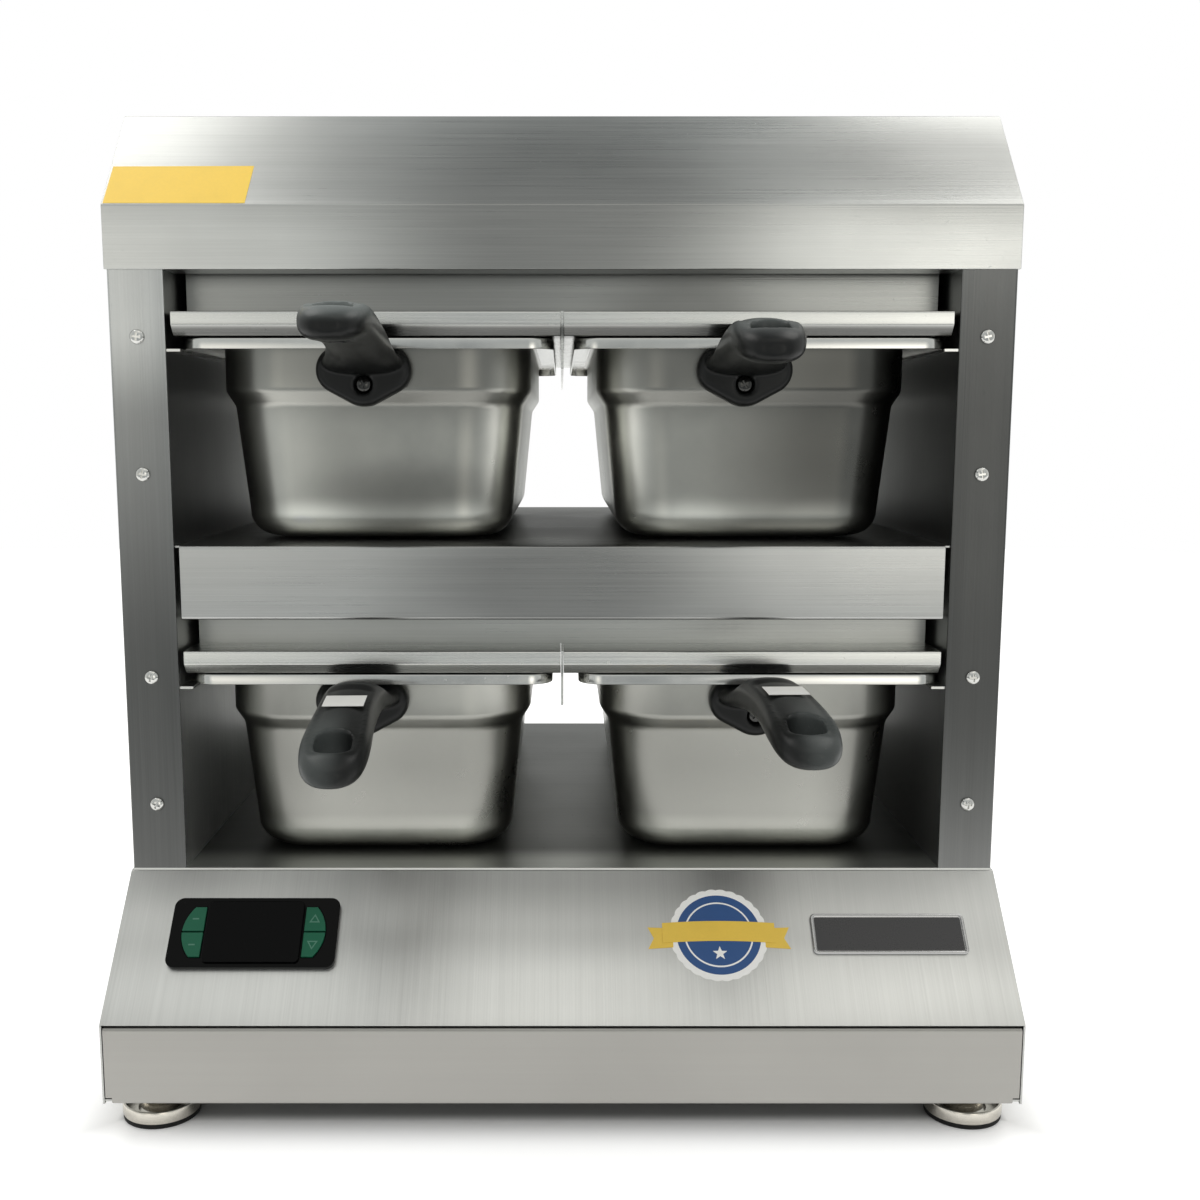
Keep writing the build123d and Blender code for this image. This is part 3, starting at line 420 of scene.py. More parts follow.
@dataclass(frozen=True)
class Plastic(Finish):
    """Moulded plastic with a fine grain, rubbed smoother in places.

    Attributes:
        pitch: Number of grain bumps to a metre.
        depth: Height of the grain.
        coat: Weight of the clear gloss on top.
        soften: Radius of the rounding that edges seem to have, in metres.
        shine: Strength of its mirror reflection.
        patches: Places where light is painted into the colour: painted highlights.
    """

    pitch: float = 1400.0
    depth: float = 0.10
    coat: float = 0.0
    soften: float = 0.0
    shine: float = 0.5
    patches: tuple[Patch, ...] = ()

    def fill(self, graph: Graph) -> dict[str, Any]:
        """Give fine grain, rubbed patches, a little dust and painted highlights at its patches.

        Args:
            graph: Tree of the material.

        Returns:
            The shader's sockets by name.
        """
        grain = graph.noise(self.pitch, 2.0, 0.5)
        rubbed = graph.noise(*RUBBING)
        dust = graph.spread(graph.noise(*DUST), 0.68, 0.80, 0.0, 0.20)
        colour = graph.mix(rubbed, shade(self.colour, 0.82), shade(self.colour, 1.18))
        dusty = graph.mix(dust, colour, rgba(tuple(part * 0.8 + 0.012 for part in self.colour)))
        normal = None
        if self.soften:
            normal = graph.node("ShaderNodeBevel", {"samples": 4}, {"Radius": self.soften})
        sockets = {
            "Base Color": graph.patched(dusty, self.patches),
            "Roughness": (rubbed - 0.5) * 0.18 + (grain - 0.5) * 0.10 + self.roughness,
            "Normal": graph.bump(grain, self.depth, 0.0002, normal),
            "Specular IOR Level": self.shine,
        }
        if self.coat:
            sockets["Coat Weight"] = self.coat
            sockets["Coat Roughness"] = 0.04
        return sockets


@dataclass(frozen=True)
class Paper(Finish):
    """Printed vinyl or paper label with fibres and slightly soiled patches."""

    def fill(self, graph: Graph) -> dict[str, Any]:
        """Give fibres, soiling and a faint ripple.

        Args:
            graph: Tree of the material.

        Returns:
            The shader's sockets by name.
        """
        fibres = graph.noise(*PAPER_FIBRES)
        soil = graph.spread(graph.noise(*SOIL), 0.5, 0.8, 0.0, 0.25)
        clean = graph.mix(fibres, shade(self.colour, 0.95), shade(self.colour, 1.04))
        return {
            "Base Color": graph.mix(soil, clean, shade(self.colour, 0.82)),
            "Roughness": fibres * 0.12 + self.roughness,
            "Normal": graph.bump(fibres, 0.08, 0.0001),
        }


@dataclass(frozen=True)
class Wool(Finish):
    """Mineral wool slab with matted fibres."""

    def fill(self, graph: Graph) -> dict[str, Any]:
        """Give matted fibres that catch the light.

        Args:
            graph: Tree of the material.

        Returns:
            The shader's sockets by name.
        """
        fibres = graph.noise(*WOOL_FIBRES)
        colour = graph.mix(fibres, shade(self.colour, 0.6), shade(self.colour, 1.3))
        return {"Base Color": colour, "Roughness": self.roughness, "Normal": graph.bump(fibres, 0.8, 0.002)}


# Patches paint the studio's reflection into the roof: a darker middle and upper right, lighter visor ends.
ROOF_STEEL = Steel("brushed_roof_steel", (0.5, 0.505, 0.49), 0.3, Grain.ALONG_X, 0.07, 0.12, patches=(
    ((0, -104, 440), (135, 64, 140), 0.56), ((-128, -92, 464), (70, 40, 62), 0.85),
    ((-165, -108, 412), (140, 30, 32), 1.28), ((155, -108, 412), (140, 30, 32), 1.3),
    ((178, -92, 464), (110, 40, 62), 0.55),
))
# Patches paint shade: the middle shelf's deck is much darker under and between the upper pans, and its
# front lip darker in the middle.
LIP_STEEL = Steel(
    "brushed_lip_steel", (0.48, 0.485, 0.475), 0.3, Grain.ALONG_X, 0.07, 0.12, edge=0.3,
    patches=(
        ((0, 66, 277), (420, 185, 16), 0.15), ((0, -107, 256), (110, 24, 60), 0.55),
    ),
)
# A darker copy of the stainless, painted shade; its patches paint the top of the left post lighter and the
# lower left and right posts darker.
POST_STEEL = Steel("brushed_post_steel", (0.28, 0.285, 0.28), 0.32, Grain.ALONG_Z, 0.07, 0.12, patches=(
    ((-205, -107.5, 400), (90, 12, 70), 2.0), ((-200, -107.5, 170), (60, 12, 175), 0.42),
    ((200, -107.5, 270), (60, 12, 260), 0.32),
))
# Patches paint shade along the slope's top and light along its bottom, and lighten where the lower left
# handle is mirrored.
SLOPE_STEEL = Steel(
    "brushed_slope_steel", (0.52, 0.523, 0.51), 0.34, Grain.DOWN_SLOPE, 0.06, 0.12,
    patches=(
        ((0, -106, 116), (360, 34, 34), 0.7), ((-195, -100, 112), (60, 40, 30), 0.8),
        ((-82, -112, 110), (26, 40, 36), 1.4), ((0, -152, 68), (360, 32, 32), 1.36),
    ),
)
BASE_LIP_STEEL = Steel("satin_base_steel", (0.37, 0.362, 0.342), 0.42, Grain.ALONG_X, 0.02, 0.03, 0.04)
SIDE_STEEL = Steel("brushed_side_steel", (0.46, 0.465, 0.45), 0.34, Grain.ALONG_Y, 0.08, 0.12)
# Patches paint shade over the upper deck's liners and light beside the lower pans, most on the left.
LINER_STEEL = Steel("liner_steel", (0.25, 0.255, 0.25), 0.34, Grain.ALONG_Z, 0.06, 0.1, patches=(
    ((0, -80, 330), (600, 300, 130), 0.58), ((-186, -60, 150), (100, 140, 110), 3.8),
    ((186, -60, 150), (100, 140, 110), 1.6),
))
# A much darker copy of the stainless, painted shade, with a painted highlight lightening its front edge
# again.
DECK_STEEL = Steel("deck_steel", (0.13, 0.132, 0.126), 0.42, Grain.ALONG_X, 0.05, 0.08, patches=(
    ((0, -107, 114), (900, 34, 60), 4.5),
))
# Patches paint shade on the rails' lower bevels, darkest on the upper deck.
RAIL_STEEL = Steel("rail_steel", (0.68, 0.685, 0.66), 0.26, Grain.ALONG_X, 0.06, 0.08, patches=(
    ((0, -105.5, 375), (900, 30, 4.6), 0.24), ((0, -105.5, 214), (900, 30, 4.6), 0.6),
))
# Patches paint shade on the upper housing and light on the lower one.
HOUSING_STEEL = Steel("housing_steel", (0.38, 0.385, 0.37), 0.3, Grain.ALONG_X, 0.06, 0.08, patches=(
    ((-70, -90, 388), (130, 60, 26), 0.8), ((60, -90, 388), (60, 60, 26), 0.62),
    ((0, -90, 226), (300, 60, 22), 1.22),
))
# Patches paint the studio's light into the pans: darker areas on their faces, and painted highlights along
# their bottom edges, corners and sides.
PAN_STEEL = Steel("pan_steel", (0.385, 0.385, 0.357), 0.31, Grain.CLOUDY, 0.03, 0.03, 0.08, patches=(
    ((0, -80, 358), (330, 60, 32), 0.6), ((150, -70, 330), (90, 90, 120), 0.34),
    ((-165, -70, 170), (55, 90, 110), 0.55), ((175, -70, 170), (55, 90, 110), 0.45),
    ((0, -90, 165), (200, 40, 60), 0.72), ((-94, -100, 284), (130, 50, 15), 1.7),
    ((-122, -100, 285), (34, 50, 15), 1.6), ((-46, -100, 285), (34, 50, 16), 1.6),
    ((94, -100, 284), (130, 50, 15), 1.7), ((132, -100, 285), (34, 50, 15), 1.6),
    ((62, -100, 285), (34, 50, 16), 1.6), ((0, -100, 124), (330, 50, 14), 1.7),
    ((-150, -80, 320), (36, 60, 70), 1.25), ((-18, -80, 320), (26, 60, 70), 2.3),
    ((22, -80, 320), (26, 60, 70), 2.3), ((0, -80, 165), (34, 60, 80), 2.2),
    ((-46, -95, 198), (40, 40, 16), 1.35), ((-132, -95, 326), (28, 40, 80), 1.18),
    ((-76, -95, 298), (66, 40, 24), 0.55), ((100, -95, 312), (60, 40, 40), 0.8),
))
# A lighter copy of the pan steel for the rims: a painted highlight, and smoother as well.
RIM_STEEL = Steel("bright_rim_steel", (0.66, 0.66, 0.635), 0.18, Grain.CLOUDY, 0.04, 0.02, 0.06)
BRIGHT_METAL = Steel("bright_screw_metal", (0.62, 0.62, 0.60), 0.16, Grain.CLOUDY, 0.06, 0.04, 0.06)
FOOT_METAL = Steel("turned_foot_metal", (0.62, 0.59, 0.53), 0.24, Grain.ALONG_X, 0.08, 0.04, 0.06)
BADGE_METAL = Steel("badge_metal", (0.42, 0.42, 0.42), 0.22, Grain.ALONG_X, 0.10, 0.06)
BADGE_FIELD = Plastic("badge_field_enamel", (0.022, 0.022, 0.024), 0.28, 1600.0, 0.05, 0.15, 0.0, 0.4)
# A darker copy of the screw metal for the handle screws: painted shade of the handle's recess, with tight
# highlights.
PAINTED_SHADE_SCREW_METAL = Steel("screw_metal_painted_shade", (0.06, 0.06, 0.058), 0.14, Grain.CLOUDY, 0.06, 0.04, 0.06)
# Patches paint highlights on the tops of the handles' noses, stronger on the upper handles.
HANDLE_PLASTIC = Plastic(
    "handle_plastic", (0.0048, 0.0054, 0.0053), 0.36, 1500.0, 0.08, shine=0.26,
    patches=(
        ((-90, -222, 382), (50, 60, 13), 34.0), ((79, -222, 377), (50, 60, 13), 20.0),
        ((-101, -215, 202), (15, 50, 50), 11.0), ((106, -215, 208), (15, 50, 50), 11.0),
    ),
)
INNER_PLASTIC = Plastic("inner_black_plastic", (0.025, 0.025, 0.026), 0.5)
PALE_PLASTIC = Plastic("pale_terminal_plastic", (0.62, 0.60, 0.54), 0.5)
GLOSS_BLACK = Plastic("gloss_black", (0.0010, 0.0011, 0.0012), 0.14, 1200.0, 0.02, 0.0, 0.0006, 0.10)
WINDOW_BLACK = Plastic("window_black", (0.0008, 0.0009, 0.0011), 0.06, 800.0, 0.01, 0.0, 0.0007, 0.08)
KEY_GREEN = Plastic("key_silicone_green", (0.006, 0.100, 0.052), 0.42, 1300.0, 0.08, 0.0, 0.0005, 0.25)
KEY_MARK = Plastic("key_mark_print", (0.06, 0.19, 0.13), 0.5)
FOOT_RUBBER = Plastic("foot_rubber", (0.010, 0.010, 0.010), 0.75, 900.0, 0.25, 0.0, 0.0, 0.3)
HEATER_MAT = Plastic("heater_silicone_mat", (0.35, 0.10, 0.05), 0.6, 500.0, 0.3)
MINERAL_WOOL = Wool("mineral_wool", (0.55, 0.50, 0.38), 0.95)
YELLOW_LABEL = Paper("yellow_label_vinyl", (0.92, 0.62, 0.075), 0.36)
WHITE_LABEL = Paper("white_label_paper", (0.84, 0.84, 0.81), 0.45)
SEAL_WHITE = Paper("seal_white_vinyl", (0.86, 0.86, 0.84), 0.35)
SEAL_BLUE = Paper("seal_blue_print", (0.018, 0.075, 0.23), 0.36)
SEAL_YELLOW = Paper("seal_yellow_print", (0.78, 0.53, 0.07), 0.36)

SLOT_FINISH = {
    "brushed_stainless": LIP_STEEL,
    "satin_stainless": LINER_STEEL,
    "pan_stainless": PAN_STEEL,
    "bright_metal": BRIGHT_METAL,
    "badge_metal": BADGE_METAL,
    "handle_plastic": HANDLE_PLASTIC,
    "black_plastic": INNER_PLASTIC,
    "pale_plastic": PALE_PLASTIC,
    "gloss_black": GLOSS_BLACK,
    "key_plastic": KEY_GREEN,
    "foot_rubber": FOOT_RUBBER,
    "heater_mat": HEATER_MAT,
    "insulation_wool": MINERAL_WOOL,
}


class Shape:
    """A mesh under construction, in millimetres."""

    def __init__(self) -> None:
        """Start empty."""
        self.mesh = bmesh.new()

    def loft(self, rings: Sequence[Sequence[Vector]], closed: bool = True, caps: bool = True) -> None:
        """Skin a row of rings that have the same number of points.

        Args:
            rings: The rings in order.
            closed: Whether each ring joins up with itself.
            caps: Whether the first and last ring are filled.
        """
        rows = [[self.mesh.verts.new(point) for point in ring] for ring in rings]
        count = len(rows[0])
        last = count if closed else count - 1
        for low, high in zip(rows, rows[1:]):
            for i in range(last):
                j = (i + 1) % count
                self.mesh.faces.new((low[i], low[j], high[j], high[i]))
        if caps:
            self.mesh.faces.new(list(reversed(rows[0])))
            self.mesh.faces.new(rows[-1])

    def block(self, one: Triple, other: Triple) -> None:
        """Add a box between two opposite corners, for a flat sheet or a flange.

        Args:
            one: One corner.
            other: The opposite corner.
        """
        x0, y0, z0 = map(min, zip(one, other))
        x1, y1, z1 = map(max, zip(one, other))
        outline = ((x0, y0), (x1, y0), (x1, y1), (x0, y1))
        self.loft([[Vector((x, y, z)) for x, y in outline] for z in (z0, z1)])

    def cheeks(self, outline: Sequence[Point]) -> None:
        """Add the left and right side sheets, with an outline of (y, z) points.

        Args:
            outline: Outline of a sheet.
        """
        for side in SIDES:
            faces = (side * (SKIN_HALF - SHEET), side * SKIN_HALF)
            self.loft([[Vector((x, y, z)) for y, z in outline] for x in faces])

    def fold(
        self, profile: Sequence[Point], start: float, end: float, radius: float, upright: bool = False
    ) -> None:
        """Fold a sheet along a profile, with rounded bends.

        Args:
            profile: Outside of the sheet as (y, z) points, or (x, y) points when upright.
            start: Where the sheet starts along the bends.
            end: Where it ends.
            radius: Outside radius of the bends.
            upright: Whether the bends run up instead of across.
        """
        outside, inside = strip_lines(profile, radius)
        section = outside + inside[::-1]
        rings = []
        for along in (start, end):
            rings.append([Vector((a, b, along) if upright else (along, a, b)) for a, b in section])
        self.loft(rings, caps=False)
        self.mesh.verts.ensure_lookup_table()
        size = len(section)
        first = len(self.mesh.verts) - 2 * size
        for base in (first, first + size):
            for i in range(len(outside) - 1):
                ring = (i, i + 1, size - 2 - i, size - 1 - i)
                self.mesh.faces.new([self.mesh.verts[base + k] for k in ring])

    def turned(self, profile: Sequence[Point], place: Matrix, steps: int) -> None:
        """Turn a closed profile of (radius, height) points round the Z axis of a place.

        Args:
            profile: The profile.
            place: Place whose Z axis it turns round.
            steps: Steps round the axis.
        """
        rings = []
        for angle in around(steps):
            c, s = polar(1.0, angle)
            rings.append([place @ Vector((r * c, r * s, h)) for r, h in profile])
        rings.append(rings[0])
        self.loft(rings, caps=False)
        bmesh.ops.remove_doubles(self.mesh, verts=self.mesh.verts, dist=1e-5)

    def slab(self, outline: Sequence[Point], place: Matrix, low: float, high: float) -> None:
        """Add a plate with an outline in the X-Y plane of a place."""
        self.loft([[place @ Vector((a, b, h)) for a, b in outline] for h in (low, high)])

    def merge(self, other: bpy.types.Mesh, place: Matrix) -> None:
        """Add a copy of a mesh that is in millimetres, moved to a place.

        Args:
            other: The mesh.
            place: Where it goes.
        """
        first = len(self.mesh.verts)
        self.mesh.from_mesh(other)
        self.mesh.verts.ensure_lookup_table()
        bmesh.ops.transform(self.mesh, matrix=place, verts=self.mesh.verts[first:])

    def data(self, name: str) -> bpy.types.Mesh:
        """Give the shape as a mesh, still in millimetres.

        Args:
            name: Name of the mesh.

        Returns:
            The mesh.
        """
        bmesh.ops.recalc_face_normals(self.mesh, faces=self.mesh.faces)
        mesh = bpy.data.meshes.new(name)
        self.mesh.to_mesh(mesh)
        return mesh

    def piece(self, name: str, finish: Finish, **options: Any) -> bpy.types.Object:
        """Turn the shape into a dressed piece, with the options of dress()."""
        return dress(name, self.data(name), finish, **options)


def dress(
    name: str,
    mesh: bpy.types.Mesh,
    finish: Finish,
    body: str = "cabinet",
    nodes: Sequence[str] = (),
    bevel: float = 0.25,
    slot: Optional[str] = None,
) -> bpy.types.Object:
    """Link a mesh as a piece with its finish, edges and body.

    Args:
        name: Name of the piece.
        mesh: Its mesh, in millimetres.
        finish: Its finish.
        body: The body that it moves with.
        nodes: The CAD nodes that it stands for.
        bevel: Width of the rounding of its edges, in millimetres.
        slot: Material slot of the record; not used.

    Returns:
        The piece.
    """
    mesh.transform(Matrix.Scale(MM, 4))
    piece = linked(bpy.data.objects.new(name, mesh))
    mesh.materials.append(finish.material())
    mesh.shade_smooth()
    mark_creases(mesh)
    if bevel:
        rounding = piece.modifiers.new("edges", "BEVEL")
        rounding.width = bevel * MM
        rounding.segments = 2
        rounding.limit_method = "ANGLE"
        rounding.angle_limit = SHARP
        rounding.harden_normals = True
    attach(piece, body)
    if nodes:
        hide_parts(*nodes)
    LOG.info("made %s on %s", name, body)
    return piece


def linked(item: bpy.types.Object) -> bpy.types.Object:
    """Put an object into the scene."""
    bpy.context.scene.collection.objects.link(item)
    return item


def mark_creases(mesh: bpy.types.Mesh) -> None:
    """Mark the sharp edges, so that flat faces stay flat.

    Args:
        mesh: The mesh, in metres.
    """
    work = bmesh.new()
    work.from_mesh(mesh)
    for edge in work.edges:
        if len(edge.link_faces) == 2:
            edge.smooth = edge.calc_face_angle(0.0) < SHARP
    work.to_mesh(mesh)
    work.free()


def evaluated(mesh: bpy.types.Mesh, changes: Callable[[bpy.types.Object], None]) -> bpy.types.Mesh:
    """Apply modifiers to a mesh.

    Args:
        mesh: The mesh to change.
        changes: Adds the modifiers to a temporary object.

    Returns:
        The changed mesh.
    """
    temporary = linked(bpy.data.objects.new("temporary", mesh))
    changes(temporary)
    bpy.context.view_layer.update()
    graph = bpy.context.evaluated_depsgraph_get()
    result = bpy.data.meshes.new_from_object(temporary.evaluated_get(graph))
    bpy.data.objects.remove(temporary)
    return result


def cut(name: str, shape: Shape, tools: Sequence[Shape]) -> bpy.types.Mesh:
    """Cut closed shapes out of a closed shape, and give the mesh in millimetres.

    Args:
        name: Name of the new mesh.
        shape: The shape to cut.
        tools: What is cut out of it.

    Returns:
        The cut mesh, in millimetres.
    """
    cutters = [linked(bpy.data.objects.new("cutter", tool.data("cutter"))) for tool in tools]

    def changes(target: bpy.types.Object) -> None:
        """Add one cut for each tool.

        Args:
            target: The object to cut.
        """
        for cutter in cutters:
            modifier = target.modifiers.new("cut", "BOOLEAN")
            modifier.operation = "DIFFERENCE"
            modifier.solver = "EXACT"
            modifier.object = cutter

    result = evaluated(shape.data(name), changes)
    for cutter in cutters:
        bpy.data.objects.remove(cutter)
    return result


def strip_lines(profile: Sequence[Point], radius: float) -> tuple[list[Point], list[Point]]:
    """Give the outside and inside lines of a folded sheet, its inside to the left of the profile.

    Args:
        profile: Outside corners of the sheet.
        radius: Outside radius of its bends.

    Returns:
        The outside and the inside points, as many of each.
    """
    points = [Vector(point) for point in profile]
    outside: list[Point] = []
    inside: list[Point] = []

    def add(point: Vector, normal: Vector) -> None:
        """Add a point and the one behind it.

        Args:
            point: Point on the outside.
            normal: Direction to the inside.
        """
        outside.append((point.x, point.y))
        inner = point + normal * SHEET
        inside.append((inner.x, inner.y))

    for i, point in enumerate(points):
        before = (point - points[i - 1]).normalized() if i else None
        after = (points[i + 1] - point).normalized() if i + 1 < len(points) else None
        if before is None or after is None:
            direction = after if before is None else before
            add(point, Vector((-direction.y, direction.x)))
            continue
        turn = math.atan2(before.x * after.y - before.y * after.x, before.dot(after))
        bend = radius if turn > 0 else max(radius - SHEET, 0.2)
        back = bend * math.tan(abs(turn) / 2.0)
        back = min(back, 0.45 * min((point - points[i - 1]).length, (points[i + 1] - point).length))
        bend = back / math.tan(abs(turn) / 2.0)
        side = 1.0 if turn > 0 else -1.0
        left = Vector((-before.y, before.x))
        centre = point - before * back + left * bend * side
        steps = 6
        for k in range(steps + 1):
            angle = turn * k / steps
            c, s = math.cos(angle), math.sin(angle)
            normal = Vector((left.x * c - left.y * s, left.x * s + left.y * c))
            add(centre - normal * bend * side, normal)
    return outside, inside


def rounded(width: float, height: float, radius: float, steps: int = 8) -> list[Point]:
    """Outline of a rectangle with rounded corners, counter-clockwise from the right.

    Args:
        width: Width of the rectangle.
        height: Height of the rectangle.
        radius: Radius of its corners.
        steps: Steps round each corner.

    Returns:
        The points of the outline.
    """
    points = []
    for quarter, (sx, sy) in enumerate(((1, -1), (1, 1), (-1, 1), (-1, -1))):
        for k in range(steps + 1):
            angle = math.radians(90.0 * (quarter - 1) + 90.0 * k / steps)
            x = sx * (width / 2.0 - radius) + radius * math.cos(angle)
            y = sy * (height / 2.0 - radius) + radius * math.sin(angle)
            points.append((x, y))
    return points


def around(steps: int) -> list[float]:
    """Give the angles of equal steps round a circle."""
    return [2.0 * math.pi * i / steps for i in range(steps)]


def polar(radius: float, angle: float) -> Point:
    """Give the point at a distance and an angle from the middle."""
    return radius * math.cos(angle), radius * math.sin(angle)


def circle(radius: float, steps: int) -> list[Point]:
    """Outline of a circle."""
    return [polar(radius, angle) for angle in around(steps)]


def sticker(
    name: str, finish: Finish, place: Matrix, low: float, high: float, *outlines: Sequence[Point]
) -> None:
    """Make one thin printed layer, between two heights over a surface.

    Args:
        name: Name of the piece.
        finish: Its finish.
        place: Place on the surface.
        low: Height of its underside.
        high: Height of its top.
        outlines: Outlines of its separate areas.
    """
    shape = Shape()
    for outline in outlines:
        shape.slab(outline, place, low, high)
    shape.piece(name, finish, bevel=0.0)


def frame_at(origin: Vector, across: Vector, out: Vector) -> Matrix:
    """Give a place with its X across, its Z out and its Y between them.

    Args:
        origin: Middle of the place.
        across: Its X direction.
        out: Its Z direction.

    Returns:
        The place.
    """
    up = out.cross(across)
    matrix = Matrix((across, up, out)).transposed().to_4x4()
    matrix.translation = origin
    return matrix


SLOPE_RUN = Vector((0.0, LIP_Y - FRONT, LIP_TOP - BASE_TOP)).normalized()
SLOPE_OUT = Vector((0.0, LIP_TOP - BASE_TOP, FRONT - LIP_Y)).normalized()
ROOF_RISE = Vector((0.0, ROOF_RUN, ROOF_TOP - VISOR_TOP)).normalized()
ROOF_OUT = Vector((0.0, VISOR_TOP - ROOF_TOP, ROOF_RUN)).normalized()
ACROSS = Vector((1.0, 0.0, 0.0))


def on_slope(x: float, down: float) -> Matrix:
    """Place on the base's slope, a distance down from its top edge."""
    return frame_at(Vector((x, FRONT, BASE_TOP)) + SLOPE_RUN * down, ACROSS, SLOPE_OUT)


def on_roof(x: float, up: float) -> Matrix:
    """Place on the roof's slope, a distance up from the visor's top edge."""
    return frame_at(Vector((x, FRONT - SHEET, VISOR_TOP)) + ROOF_RISE * up, ACROSS, ROOF_OUT)


@dataclass
class Roof:
    """Folded roof cover with its visor, cheeks and return flanges, and the label on it.

    Attributes:
        bend: Outside radius of the folds.
        return_run: Depth of the flanges under the visor and the rear.
        label_left: Left edge of the label.
        label_width: Width of the label.
        label_height: Height of the label up the slope.
        label_skew: How far the label's top leans to the right.
        fit: How far the cover's ends and the cheeks' edges stay inside each other.
    """

    bend: float = 1.5
    return_run: float = 19.0
    label_left: float = -212.0
    label_width: float = 65.5
    label_height: float = 27.0
    label_skew: float = 1.2
    fit: Point = (0.15, 0.35)

    def build(self) -> None:
        """Make the cover and the label."""
        near = FRONT - SHEET
        far = REAR + SHEET
        crest = near + ROOF_RUN
        half = SKIN_HALF - self.fit[0]
        shape = Shape()
        cover = [(far, VISOR_BOTTOM), (far, ROOF_TOP), (crest, ROOF_TOP), (near, VISOR_TOP)]
        cover.append((near, VISOR_BOTTOM))
        shape.fold(cover, -half, half, self.bend)
        for edge, inward in ((near, 1.0), (far, -1.0)):
            shape.block(
                (-OPENING_HALF, edge + inward * SHEET, VISOR_BOTTOM),
                (OPENING_HALF, edge + inward * self.return_run, VISOR_BOTTOM + SHEET),
            )
        inset = self.fit[1]
        shape.cheeks(
            [
                (near + inset, VISOR_BOTTOM), (near + inset, VISOR_TOP - 0.1),
                (crest + 0.1, ROOF_TOP - inset), (far - inset, ROOF_TOP - inset),
                (far - inset, VISOR_BOTTOM),
            ]
        )
        shape.piece("roof_shell", ROOF_STEEL, nodes=("roof_cover",), bevel=0.3, slot="brushed_stainless")
        self.build_label()

    def build_label(self) -> None:
        """Make the blank yellow label on the left of the slope, its edge on the cover's end."""
        outline = [
            (0.0, 0.0), (self.label_width, 0.0),
            (self.label_width + self.label_skew, self.label_height - 1.0),
            (0.4, self.label_height - 1.4),
        ]
        sticker("roof_label", YELLOW_LABEL, on_roof(self.label_left, 0.9), 0.02, 0.16, outline)


@dataclass
class SideWall:
    """One side wall's outer channel, with the posts as its faces.

    Attributes:
        side: -1 on the left, 1 on the right.
        name: Left or right, as in the CAD nodes.
        hook: Depth of the turned-in hook behind a post.
        bend: Outside radius of its folds.
    """

    side: float
    name: str
    hook: float = 10.0
    bend: float = 1.2

    def build(self) -> None:
        """Make the channel and its hooks."""
        shape = Shape()
        profile = [
            (OPENING_HALF, REAR - SHEET), (OPENING_HALF, REAR), (CASE_HALF, REAR), (CASE_HALF, FRONT),
            (OPENING_HALF, FRONT), (OPENING_HALF, FRONT + SHEET),
        ]
        mirrored = [(self.side * x, y) for x, y in profile]
        shape.fold(mirrored[:: -int(self.side)], FLOOR, CEILING, self.bend, upright=True)
        inner = self.side * (OPENING_HALF + SHEET)
        outer = self.side * (OPENING_HALF + 2 * SHEET)
        for y0, y1 in ((FRONT + SHEET, FRONT + self.hook), (REAR - self.hook, REAR - SHEET)):
            shape.block((inner, y0, FLOOR), (outer, y1, CEILING))
        node = f"side_panel_{self.name}"
        name = f"side_channel_{self.name}"
        shape.piece(name, POST_STEEL, nodes=(node,), bevel=0.2, slot="brushed_stainless")


@dataclass(frozen=True)
class CrossHead:
    """Round screw head with a cross slot, its seat at the origin and its crown along Z.

    Attributes:
        radius: Radius of the head.
        dome: Height of the head.
        seat: Radius of the seat under the head.
        shank: Radius of the shank.
        length: Length of the shank.
        cross: Length of the slots.
        width: Width of the slots.
        floor: Height of the slots' floor.
        turn: Turn of the first slot, in radians.
        edge: Height of the head's upright edge.
    """

    radius: float
    dome: float
    seat: float
    shank: float
    length: float
    cross: float
    width: float
    floor: float
    turn: float
    edge: float = 0.3

    def mesh(self, name: str) -> bpy.types.Mesh:
        """Give the head with its shank, in millimetres.

        Args:
            name: Name of the mesh.

        Returns:
            The mesh.
        """
        profile = [(0.0, -self.length), (self.shank, -self.length), (self.shank, 0.0), (self.seat, 0.0)]
        profile.append((self.radius, self.edge))
        for step in range(1, 9):
            angle = math.radians(90.0 * step / 8.0)
            c, s = polar(1.0, angle)
            profile.append((self.radius * c, self.edge + (self.dome - self.edge) * s))
        rings = []
        for angle in around(32):
            c, s = polar(1.0, angle)
            rings.append([Vector((r * c, r * s, h)) for r, h in profile])
        rings.append(rings[0])
        shape = Shape()
        shape.loft(rings, closed=False, caps=False)
        bmesh.ops.remove_doubles(shape.mesh, verts=shape.mesh.verts, dist=1e-4)
        a, b = self.cross / 2, self.width / 2
        tools = []
        for turn in (self.turn, self.turn + math.pi / 2.0):
            tool = Shape()
            outline = [(-a, -b), (a, -b), (a, b), (-a, b)]
            tool.slab(outline, Matrix.Rotation(turn, 4, "Z"), self.floor, self.dome + CLEAR)
            tools.append(tool)
        return cut(name, shape, tools)


